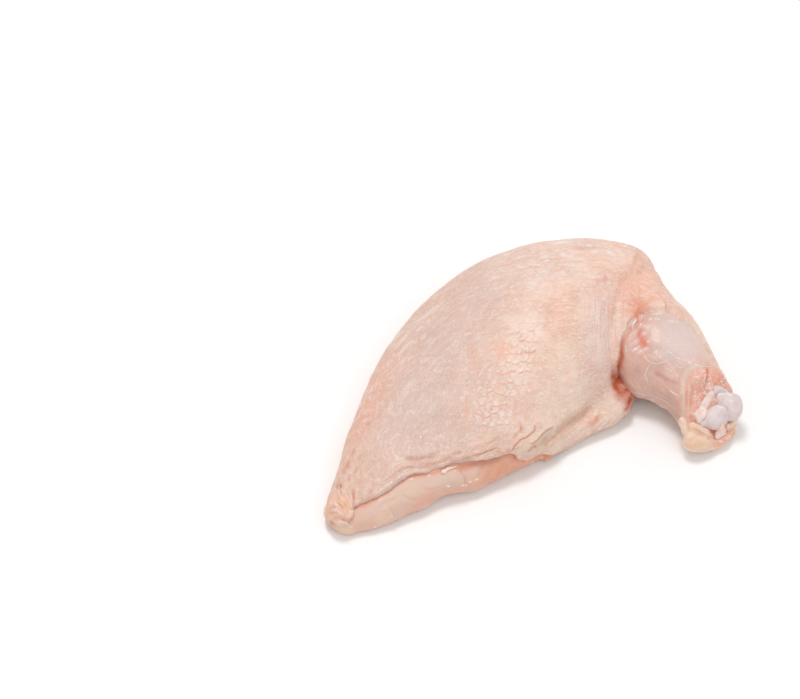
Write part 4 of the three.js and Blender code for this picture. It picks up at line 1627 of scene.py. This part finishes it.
# Pebbles under the cut's face: name, place, height over the cut, size, turn and how boxy.
WING_SEATS = [
    ("cut_flesh", 707, 392, -3.7, (10.6, 10.6, 5.0), 0, 0.9),
    ("cut_seat", 711, 425, -2.3, (9.4, 7.6, 3.8), 0, 1.0),
    ("left_seat", 690.5, 417, -1.8, (2.8, 4.6, 2.2), 15, 1.0),
    ("front_seat", 705, 428, -0.3, (6.2, 1.6, 1.8), -26, 1.0),
]
WING_DETAIL = [
    ([(634, 322), (638, 352)], 5.5),
    ([(697, 376), (706, 396)], 6.5),
    ([(717, 374), (721, 384)], 4.0),
]
WING_EASED = [
    (731, 391, 3.0, 0.9, 0.2, 0.0),
    (723, 371, 4.0, -0.3, -0.1, 0.0),
    (728, 378, 3.5, -1.1, -0.3, 0.0),
    (627, 388, 4.5, -0.5, -2.3, 0.0),
    (639, 395, 4.5, 0.0, -2.1, 0.0),
]
# Soft pale lobes at the wing's root, with blood between them: place, two reaches, turn and height.
LOBES = [
    (644.5, 333.5, 1.7, 1.2, 25, 0.5), (636, 342, 2.0, 1.3, 40, 0.5),
    (635, 332.5, 1.8, 0.9, 50, 0.45), (633, 324, 2.0, 0.7, 55, 0.4),
    (630.6, 335.5, 1.6, 0.7, 65, 0.4), (648, 327, 1.8, 1.2, 30, 0.3),
    (640, 352, 1.9, 1.0, 30, 0.3), (647, 349, 1.6, 1.0, 0, 0.3), (628.6, 327, 1.6, 0.55, 60, 0.35),
    (640.5, 325.5, 1.2, 0.7, 60, 0.35), (630, 346, 1.6, 0.8, 70, 0.3),
]
PLEATED = (635, 334, 6.0, 9.0)
# Blood: place, two reaches, turn and strength.
BLOOD_PLACES = [
    (640.8, 336, 1.7, 3.2, 0, 0.95), (643, 343.5, 1.9, 2.3, 30, 1.0), (638, 320, 2.0, 3.0, 0, 0.5),
    (631.5, 329, 1.4, 2.4, 0, 0.4), (643, 356, 2.2, 1.6, 0, 0.3), (637, 348, 3.4, 2.4, 0, 0.35),
    (636, 337, 5.0, 7.0, 0, 0.3), (636.5, 316, 1.2, 1.6, 0, 0.9),
]
# The fold patch at the cut's hollow is painted shade; the one at the pit below the knobs is its deep
# orange.
WING_PATCHES = [
    ("pale", 681, 337, 12, 10.5, -35, 1.0, 4), ("cream", 704, 345, 3.0, 11, 28, 0.8, 4),
    ("cut", 710, 400, 11, 15, -25, 1.0, 6), ("fold", 713.5, 431.5, 1.9, 2.2, 0, 0.9, 4),
    ("blood", 705, 399.5, 1.5, 2.2, 0, 0.8, 2), ("blood", 701, 394, 3.6, 5.0, -10, 0.42, 2),
    ("fold", 706.2, 390, 1.3, 2.8, 0, 0.4, 2), ("blood", 720, 382, 4.5, 3.5, -40, 0.5, 2),
    ("pale", 701, 404, 4.0, 2.4, 50, 0.45, 2), ("blood", 716, 400, 1.6, 2.4, -40, 0.4, 2),
]
# Drops of moisture painted white as highlights, one by one, and in clusters: place, reaches in pixels
# and number of drops.
SPARKLE_SPRAY_SPOTS = [
    ("sparkle_spray", 635, 349.4, 0.3, 1.3, -55, 0.9, 2), ("sparkle_spray", 627.5, 319, 0.35, 0.6, 0, 0.9, 2),
    ("sparkle_spray", 640.5, 324.5, 0.3, 0.3, 0, 0.9, 2), ("sparkle_spray", 648.2, 341.5, 0.35, 0.35, 0, 0.9, 2),
    ("sparkle_spray", 634, 323, 0.9, 0.25, 50, 0.9, 2), ("sparkle_spray", 642, 311.5, 1.6, 0.4, 25, 0.9, 2),
    ("sparkle_spray", 656.5, 351.5, 0.3, 0.4, 0, 0.9, 2), ("sparkle_spray", 660.5, 356.5, 0.4, 0.3, 0, 0.9, 2),
]
SPARKLE_SPRAY = [
    (705, 392.5, 2.4, 4.0, 26), (695, 398.5, 2.2, 3.6, 12), (714, 396, 2.6, 1.6, 9),
    (721, 381.5, 3.0, 4.0, 14), (706, 380, 4.0, 2.6, 14), (701.5, 403.5, 2.2, 1.4, 6),
    (657.5, 353, 4.5, 3.6, 7), (640, 322, 8.0, 4.0, 6),
]
# White streaks along the membranes and folds, painted highlights on the membranes' own white: path and
# width.
WING_MEMBRANE_HIGHLIGHTS = [
    ([(650, 313.6), (660, 312.6), (672, 313), (680, 315)], 0.6),
    ([(647.5, 319.6), (653, 318.4), (659.5, 318.9)], 0.35),
    ([(666.5, 321), (675, 321.3), (684, 323)], 0.3),
    ([(636, 318), (634, 324), (631.5, 329)], 0.3),
    ([(642, 315), (641, 320)], 0.25),
    ([(625.5, 345), (627, 352)], 0.25),
]
WING_HOLLOW = [(650, 346), (657, 350), (664, 352), (677, 358), (695, 365)]
VEIN = [(656.6, 373.5), (664, 376.8), (670.7, 381), (675, 382.7)]
# The cut at the elbow: its rolled rim, its furrows, the two muscles and the hollow between them,
# the torn rolls on it, its blood and its lines.
CUT_RIM = [(703, 366), (696.5, 365.8), (690, 369.5), (685.5, 375), (683.6, 382), (682.8, 391),
    (683, 400), (682.5, 409), (682, 418)]
CUT_FURROWS = [
    ([(687, 384), (686.6, 391), (687.4, 398), (687.2, 408)], 0.6, 0.25, 0.1, 0.45, "blood"),
    ([(708.1, 369), (707.6, 374), (706.9, 379), (707.5, 386)], 0.5, 1.0, 0.3, 0.9, "blood"),
]
CUT_SWELLS = [
    (700, 376, 4.2, 2.6, 0.5, 20), (719, 376, 3.6, 3.0, 0.5, -40), (701, 395, 3.6, 5.5, -1.1, -10),
]
CUT_ROLLS = [
    [(697, 380), (701, 377), (706, 378)],
    [(690, 377), (694, 374), (699, 373.5)],
    [(711, 371), (714, 375), (719, 379)],
    [(716, 372), (721, 377), (725, 383)],
    [(709.5, 381), (712.5, 378), (717, 381)],
    [(692, 388), (691, 396), (692, 404)],
]
CUT_BLOOD = [
    ("blood", 715, 384.5, 1.2, 0.7, 0, 0.8, 2), ("blood", 721.5, 381, 1.0, 0.6, 0, 0.8, 2),
    ("blood", 733, 391.5, 1.2, 0.7, 0, 0.8, 2), ("blood", 705.5, 371, 0.7, 1.4, 0, 0.8, 2),
]
# The white line along the split is a painted highlight on white tissue.
WING_LINES = [
    ("blood", [(690.5, 417), (694, 421), (698.5, 424.5)], 0.9, 0.7),
    ("white", [(706, 381), (708.7, 384.5), (711, 389)], 0.5, 0.7),
]


def seats(rows):
    """Pebbles on the elbow's cut, from rows like those of WING_SEATS."""
    return [pebble(name, on_cut(px, py, lift), size, turn, square)
            for name, px, py, lift, size, turn, square in rows]


def lump_root(clay):
    """The wing root's soft lobes, with fine upright pleats over and between them."""
    lumpy = np.zeros(clay.count)
    for x, y, wide, high, turn, height in LOBES:
        lumpy = np.maximum(lumpy, np.exp(-clay.around(x, y, wide, high, turn) ** 3))
        clay.swell(x, y, wide, high, height, turn)
    pleated = np.exp(-clay.around(*PLEATED) ** 4)
    spot = clay.picture / PX_PER_MM
    pleats = rough_over((spot @ (0.42, -0.91)) / 3.5, (spot @ (0.91, 0.42)) / 0.6, 2, 49)
    clay.push(pleated * 0.14 * pleats)
    clay.mark("pale", pleated * 0.55 * step(0.0, 0.5, pleats))
    clay.mark("pale", 0.65 * lumpy)
    for x, y, wide, high, turn, much in BLOOD_PLACES:
        clay.mark("blood", much * np.exp(-clay.around(x, y, wide, high, turn) ** 2) * (1 - 0.7 * lumpy))


def wet_wing(clay):
    """The drops of moisture on the cut and by the lobes, painted white as highlights."""
    clay.patches(SPARKLE_SPRAY_SPOTS)
    chance = np.random.default_rng(17)
    for x, y, wide, high, count in SPARKLE_SPRAY:
        for dx, dy, big in chance.normal(size=(count, 3)):
            size = 0.17 + 0.05 * abs(big)
            clay.patches([("sparkle_spray", x + dx * wide, y + dy * high, size, size, 0, 0.95, 2)])


def carve_cut(clay):
    """The cut at the elbow: its rim is rolled up, its face torn and bloody."""
    gap = clay.beside(CUT_RIM)[0]
    clay.push(0.45 * np.exp(-(gap / 1.5) ** 2) * (1 + 0.7 * rough(clay.points / 2.2, 2, 44)))
    clay.marks["cut"] = clay.marks["cut"] * (1 - 0.85 * np.exp(-(gap / 1.5) ** 4))
    clay.mark("cream", 0.8 * np.exp(-(gap / 1.2) ** 4) * (0.6 + 0.6 * rough(clay.points / 3, 2, 45)))
    for furrow in CUT_FURROWS:
        clay.groove(*furrow)
    for swell in CUT_SWELLS:
        clay.swell(*swell)
    for path in CUT_ROLLS:
        clay.ridge(path, 0.8, 0.45)
    clay.push(0.12 * rough(clay.points / 1.3, 2, 47) * clay.marks["cut"])
    clay.patches(CUT_BLOOD)
    for line in WING_LINES:
        clay.line(*line)


def make_wing():
    """The wing meat, with the lobes at its root, its clear membranes streaked with painted highlights,
    and the cut at the elbow.
    """
    bare_meat = tree_of(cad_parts["wing_meat"])
    lump_bed = pebble("lump_bed", spot_on(bare_meat, 634, 322, -1.2)[0], (4.2, 3.0, 2.0), 35)
    piece = blank("wing_meat", "wing_flesh", 0.5, 8, [lump_bed, *seats(WING_SEATS)])
    finer(piece, WING_DETAIL)
    clay = Clay(piece)
    ease(clay, EASED + WING_EASED)
    clay.roughen((0.25, 7, 41), (0.06, 2, 42))
    lump_root(clay)
    wet_wing(clay)
    clay.patches(WING_PATCHES)
    clay.groove(WING_HOLLOW, 1.8, 0.5, 0.2)
    for path, width in WING_MEMBRANE_HIGHLIGHTS:
        clay.broken_streak("white", path, width, 9, -0.6, 0.2, 48)
    clay.line("vein", VEIN, 0.9)
    # Painted shade: deep orange along the armpit crease, widening towards its foot.
    gap, _, share = clay.beside(ARMPIT_CREASE + [(619, 391)])
    clay.mark("fold", np.exp(-(gap / (0.5 + 1.1 * share)) ** 2) * step(0.05, 0.45, share))
    carve_cut(clay)
    along = clay.picture @ np.array((0.72, 0.69)) / PX_PER_MM
    side_on = clay.picture @ np.array((0.69, -0.72)) / PX_PER_MM
    clay.write(grain=np.stack([along, side_on, clay.points[:, 2]], 1))
    piece.data.materials.append(wing_finish())
    return piece


# ---------------------------------------------------------------- the elbow

# Outlines of the small pieces in the elbow's cut.
TENDON_STUB = [(691.6, 414.3), (698, 408.2), (705.2, 405.4), (708, 410), (707, 416), (698.7, 424)]
TENDON_WEB = [(697, 411), (700, 404), (704, 397.5), (708.4, 392), (712.6, 390), (715, 394),
    (713.8, 399), (710.4, 404), (707, 409.5), (702, 412.5)]
CARTILAGE_CRESCENT = [(712.4, 389.8), (713.6, 386.6), (717.3, 385.2), (721.6, 386.4),
    (725.2, 389.5), (727, 393), (723.4, 392.5), (719.7, 393), (717.3, 395), (714.2, 395)]
LIGAMENT_PLATE = [(722.4, 422), (725.2, 427), (726.4, 432.8), (723, 437), (716.2, 440),
    (714, 435.6), (715.6, 431), (719.2, 427)]
# The knobs: pebbles that fill them out, in rows like those of WING_SEATS, and their relief.
KNOB_SEATS = [
    ("low_end", 705, 421.5, 0.6, (3.0, 1.9, 1.9), 32, 1.0),
    ("far_side", 724.5, 401.5, 1.2, (4.0, 3.0, 2.0), -38, 1.0),
]
KNOBS_EASED = [(721, 391, 2.2, -1.0, 0.4, 0.0), (741, 406, 3.5, -0.9, 0.0, 0.0)]
KNOB_SWELLS = [
    (731, 407, 3.6, 4.2, -0.7, -35), (715, 417, 3.6, 3.0, -0.4, 20),
]
KNOB_RIDGES = [
    ([(717.5, 395.5), (721, 393.8), (725.2, 393.4), (730.8, 395.3), (735.6, 398.5)], 0.7, 0.35),
    ([(711.8, 407), (716.7, 406), (721, 407.2), (724.6, 411)], 0.7, 0.3),
]
KNOB_FURROWS = [
    ([(719.5, 405), (724, 407.7), (727, 413), (727, 420)], 0.6, 0.4),
    ([(713.8, 394.6), (717.5, 394.2), (721, 392.4), (727, 393)], 0.4, 0.3),
]
KNOB_DISCS = [(736.3, 405.3, 1.5, 2.0), (721, 415, 1.4, 1.7)]
# Painted highlights along the knobs' top edges: mark, path, width and strength.
KNOB_HIGHLIGHTS = [
    ("edge", [(717.5, 395), (721, 393.4), (725.2, 393), (730.8, 394.9)], 0.6, 1.0),
    ("edge", [(711.8, 407), (716.7, 406), (721, 407.2)], 0.5, 1.0),
]


def make_elbow(wing):
    """The bone's white knobs, and the tendon's stump beside them."""
    bare = tree_of(wing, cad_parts["wing_bone"])
    knobs = blank("wing_bone", "humerus_knobs", 0.3, 5, [
        *seats(KNOB_SEATS), laid("cap", CARTILAGE_CRESCENT, bare, 1.1, -0.9, 0.7, 0.7, 6)])
    clay = Clay(knobs)
    ease(clay, KNOBS_EASED)
    for swell in KNOB_SWELLS:
        clay.swell(*swell)
    for ridge in KNOB_RIDGES:
        clay.ridge(*ridge)
    for furrow in KNOB_FURROWS:
        clay.groove(*furrow)
    for disc in KNOB_DISCS:
        clay.swell(*disc, -0.25)
        clay.mark("disc", np.exp(-clay.around(*disc) ** 6))
        clay.mark("edge", 0.3 * np.exp(-((clay.around(*disc) - 1.15) / 0.2) ** 2))
    for line in KNOB_HIGHLIGHTS:
        clay.line(*line)
    clay.write()
    knobs.data.materials.append(cartilage_finish())
    under = tree_of(wing, knobs)
    stump = blank("elbow_tendon", "tendon_stump", 0.22, 2, [
        laid("stub", TENDON_STUB, under, 1.7, -0.6, 0.5, 0.7, 6),
        laid("web", TENDON_WEB, under, 0.5, -0.6, 1.2, 0.7, 6),
    ])
    stump.data.materials.append(sinew_finish("wet_tendon", paint(242, 222, 216), paint(236, 204, 192)))
    return knobs, stump


def make_ligament(*under):
    """The flat white end that lies across the pad, below the knobs."""
    tie = blank("elbow_ligament", "ligament_end", 0.22, 3, [
        laid("ligament_plate", LIGAMENT_PLATE, tree_of(*under), 0.9, -0.5, 0.9, 0.7, 12)])
    tie.data.materials.append(sinew_finish("wet_ligament", paint(248, 222, 212), paint(244, 208, 196)))
    return tie


# ---------------------------------------------------------------- the fat and the threads

FAT_STRIP = [(690, 423.6), (692.2, 421.2), (697, 423), (702.8, 426), (710.2, 430), (713.2, 433.2),
    (713.2, 437.4), (709.9, 438.4), (704, 435), (698, 431.2), (692.4, 427.9)]
FAT_FLAP = [(724.2, 424), (729.5, 421.4), (736.9, 417.1), (739.4, 418.6), (735.4, 425.2),
    (731, 429.6), (725.6, 431.4)]
FAT_CORNER = [(678.4, 419.4), (681.2, 415.9), (684.6, 417.3), (687.2, 422.4), (688.4, 428.5),
    (687.4, 434.4), (683.6, 431.4), (679.8, 425)]
FAT_LIP = [(685.6, 433.9), (682.8, 439.2), (681.9, 443.4), (684.2, 447.2), (688.5, 450.3),
    (695.3, 451.8), (702.6, 451.8), (708.7, 450.9), (714.8, 449.3), (721, 447.4), (728.5, 441.6),
    (732.4, 435.9), (737, 424.6), (733.5, 424.5), (728.5, 430), (723, 434.5), (716, 438),
    (711, 437), (704, 433.5), (697, 430.5), (690, 431)]
FAT_PAD = [("elbow_fat", 699, 441.5, -1.6, (6.6, 2.9, 2.8), -3, 1.0)]
FAT_SEATS = [
    ("pad_right", 720, 439.5, -1.9, (5.4, 2.7, 2.4), 28, 1.0),
    ("pad_side", 730.5, 431.5, -1.8, (2.3, 4.0, 2.1), -28, 1.0),
    ("corner_seat", 688.5, 430.5, -1.3, (2.8, 4.4, 2.0), 25, 1.0),
]
FAT_FURROWS = [
    ([(690, 429.5), (698, 433.5), (706, 437.5), (712, 439.5)], 0.6, 0.4, 0.1, 0.4, "pink"),
    ([(694, 424.5), (701, 428.5), (708, 432.5)], 0.4, 0.2, 0.1, 0.15, "pink"),
]
FAT_PATCHES = [
    ("pink", 722, 441, 4.6, 2.2, 25, 1.0, 4), ("pink", 731, 433, 1.8, 2.4, 0, 1.0, 4),
    ("pink", 688.5, 426, 0.8, 2.8, 15, 0.5, 4), ("tan", 695, 443.5, 5.4, 2.0, 0, 1.0, 4),
    ("pit", 713.5, 432, 1.7, 1.9, 0, 1.0, 4),
]
FAT_SEAM = [(696, 450.8), (703, 450.4), (711, 448.3)]
# Painted highlights: spots of glint on the fat.
FAT_SPARKLE_SPRAY = [
    ("sparkle_spray", 710.5, 434.6, 0.4, 0.3, 30, 1.0, 2), ("sparkle_spray", 723.5, 438.2, 0.4, 0.3, 30, 1.0, 2),
    ("sparkle_spray", 725.6, 437, 0.4, 0.3, 30, 1.0, 2), ("sparkle_spray", 727, 438.6, 0.4, 0.3, 30, 1.0, 2),
    ("sparkle_spray", 720, 440.6, 0.4, 0.3, 30, 1.0, 2), ("sparkle_spray", 728.6, 426.4, 0.4, 0.3, 30, 1.0, 2),
    ("sparkle_spray", 703, 426, 0.4, 0.3, 30, 1.0, 2), ("sparkle_spray", 721.5, 441.8, 0.4, 0.3, 30, 1.0, 2),
    ("sparkle_spray", 729.5, 436, 0.4, 0.3, 30, 1.0, 2),
]


def make_fat(*under):
    """The soft fat and the pad of skin that close the elbow's cut below the knobs."""
    pad = seats(FAT_PAD)[0]
    join(pad, seats(FAT_SEATS))
    tree = tree_of(pad, *under)
    join(pad, [
        laid("lip", FAT_LIP, tree, 1.7, -0.5, 2.0, 0.9, 10),
        laid("strip", FAT_STRIP, tree, 1.5, -0.8, 1.1, 0.8, 8),
        laid("flap", FAT_FLAP, tree, 1.3, -0.6, 1.0, 0.8, 8),
        laid("corner", FAT_CORNER, tree, 1.3, -0.8, 1.0, 0.8, 8),
    ])
    kneaded(pad, 0.3, 5)
    clay = Clay(pad)
    clay.roughen((0.28, 3.2, 61), (0.1, 1.3, 62))
    for furrow in FAT_FURROWS:
        clay.groove(*furrow)
    clay.line("pink", FAT_SEAM, 0.4, 0.5)
    clay.patches(FAT_PATCHES + FAT_SPARKLE_SPRAY)
    clay.write()
    pad.data.materials.append(fat_finish())
    return pad


# Small white bits on the strip of meat.
LOOSE_KNOB = (444.4, 471.8, 0.3)
LOOSE_SIDE = (447.4, 469.6, 0.35)
SLIVER = [(342.5, 520.5), (347, 522), (352, 526), (354, 528.5), (349, 527.5), (344.5, 524)]
KNOB_TAIL = [(447, 470), (450, 468.5), (454, 467.6), (457, 465.6)]


def make_loose_fat(*under):
    """Small white bits on the strip of meat: a knob with a tail, and a sliver."""
    tree = tree_of(*under)
    knob = pebble("loose_fat", spot_on(tree, *LOOSE_KNOB)[0], (1.5, 1.0, 0.7), 12)
    tail = [spot_on(tree, x, y, 0.25)[0] for x, y in drawn(KNOB_TAIL)]
    join(knob, [
        pebble("loose_side", spot_on(tree, *LOOSE_SIDE)[0], (1.1, 0.7, 0.6), 40),
        laid("sliver", SLIVER, tree, 0.4, sink=-0.3, roll=0.8, spacing=0.8),
        strand("knob_tail", tail, [0.7, 0.25], 6, 0.6),
    ])
    kneaded(knob, 0.25, 2)
    clay = Clay(knob)
    clay.roughen((0.3, 1.3, 73))
    clay.write()
    knob.data.materials.append(sinew_finish("white_fat", paint(246, 222, 208), paint(240, 208, 192)))
    return knob


# White threads: path and radius.
THREADS = [
    ([(641.5, 349.7), (643.6, 355), (648, 360.5), (655.6, 363.8), (664.2, 362.1), (670.7, 359.4),
     (675, 358.3)], 0.2),
    ([(652.3, 363.2), (648, 368), (645.2, 374.6), (647.4, 381.1), (649, 385.4)], 0.22),
    ([(663.7, 365.4), (666.4, 368.6), (670.7, 370.8), (675, 371.9)], 0.22),
    ([(668.6, 388.2), (671.8, 392), (677.2, 395.2), (679.4, 397.4)], 0.34),
    ([(675, 362.7), (679.4, 367.5), (685.9, 367.5)], 0.2),
    ([(633, 347.4), (636, 351.8)], 0.24),
    ([(659, 347), (657.5, 351.5), (662, 355), (670, 356.5), (678, 357.5)], 0.14),
    ([(664, 349), (668, 354), (676, 357), (684, 360)], 0.14),
    ([(629.5, 390.9), (642.5, 394.1), (655.6, 397.4), (664.2, 400.6), (670.7, 406), (675, 412.6)],
     0.3),
    ([(656, 393), (663, 396), (668, 400)], 0.14),
]
MEMBRANE_EDGE = [(656.6, 346.4), (664.2, 349.1), (671.8, 354), (677.2, 357.8), (685.9, 361),
    (694.6, 364.8), (703.3, 366.5), (711.9, 366.8), (716.6, 365.2)]
THICKER = 1.15
THREAD_TAPER = np.array((0.3, 1, 0.9, 1, 0.3))


def make_threads(*under):
    """White threads of fascia, and the edge of the clear membrane over the upper lobe."""
    tree = tree_of(*under)
    made = []
    for path, radius in THREADS + [(MEMBRANE_EDGE, 0.4)]:
        radius *= THICKER
        line = drawn(path, 1.2)
        line = line + 0.5 * lumps(np.pad(line, ((0, 0), (0, 1))) / 2.5, 71)[:, None]
        spots = [spot_on(tree, x, y, -0.35 * radius)[0] for x, y in line]
        made.append(strand("thread", spots, radius * THREAD_TAPER, 6, 0.7))
    threads = made[0]
    join(threads, made[1:])
    threads.name = "fascia_threads"
    threads.data.name = "fascia_threads"
    white = sinew_finish("white_fascia", paint(244, 226, 216), paint(238, 210, 196))
    threads.data.materials.append(white)
    return threads


# ---------------------------------------------------------------- floor and light

FLOOR_SIZE = 6
ROOM_LIGHT = 0.63
# Round lamps: name, metres to the picture's right, away along the ground and up, size and watts.
LAMPS = [
    ("key_light", -0.17, 0.2, 1.1, 0.34, 4.5),
    ("fill_light", 0.35, -0.55, 0.95, 0.8, 1.75),
]


def make_studio():
    """A white floor, an evenly lit room and two lamps."""
    bpy.ops.object.select_all(action="DESELECT")
    bpy.ops.mesh.primitive_plane_add(size=FLOOR_SIZE, location=(0, 0, 0))
    floor = bpy.context.active_object
    floor.name = "floor"
    f = Finish("white_floor", Roughness=0.9, Specular_IOR_Level=0.1)
    f.set(Base_Color=f.mix(f.noise(3, 2).between(0.2, 0.8), paint(253, 253, 253), paint(251, 251, 251)))
    floor.data.materials.append(f.material)
    world = bpy.data.worlds.new("soft_room")
    world.use_nodes = True
    world.node_tree.nodes["Background"].inputs["Color"].default_value = (1, 1, 1, 1)
    world.node_tree.nodes["Background"].inputs["Strength"].default_value = ROOM_LIGHT
    bpy.context.scene.world = world
    for name, across, away, high, size, power in LAMPS:
        spot = RIGHT * across - NEAR * away + np.array((0, 0, high))
        data = bpy.data.lights.new(name, "AREA")
        data.shape = "DISK"
        data.size = size
        data.energy = power
        lamp = bpy.data.objects.new(name, data)
        lamp.location = spot
        lamp.rotation_euler = Vector(spot).to_track_quat("Z", "Y").to_euler()
        bpy.context.scene.collection.objects.link(lamp)
    bpy.context.scene.view_settings.view_transform = "Standard"
    bpy.context.scene.view_settings.look = "None"


set_camera()
meat = tree_of(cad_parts["breast_meat"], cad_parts["wing_meat"])
breast_flesh = make_breast()
wing_flesh = make_wing()
raw_skin = make_skin(meat, tree_of(breast_flesh, wing_flesh))
humerus_knobs, tendon_stump = make_elbow(wing_flesh)
elbow_fat = make_fat(wing_flesh)
ligament_end = make_ligament(wing_flesh, humerus_knobs, elbow_fat)
loose_fat = make_loose_fat(breast_flesh, raw_skin)
fascia_threads = make_threads(wing_flesh, raw_skin)
make_studio()

for piece, node, slot in (
        (raw_skin, "skin", "skin"), (breast_flesh, "breast_meat", "breast_flesh"),
        (wing_flesh, "wing_meat", "wing_flesh"), (humerus_knobs, "wing_bone", "cartilage"),
        (tendon_stump, "elbow_tendon", "tendon"), (ligament_end, "elbow_ligament", "ligament")):
    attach(piece, "root")
    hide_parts(node)
for piece, slot in ((elbow_fat, "skin"), (loose_fat, "skin"), (fascia_threads, "tendon")):
    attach(piece, "root")
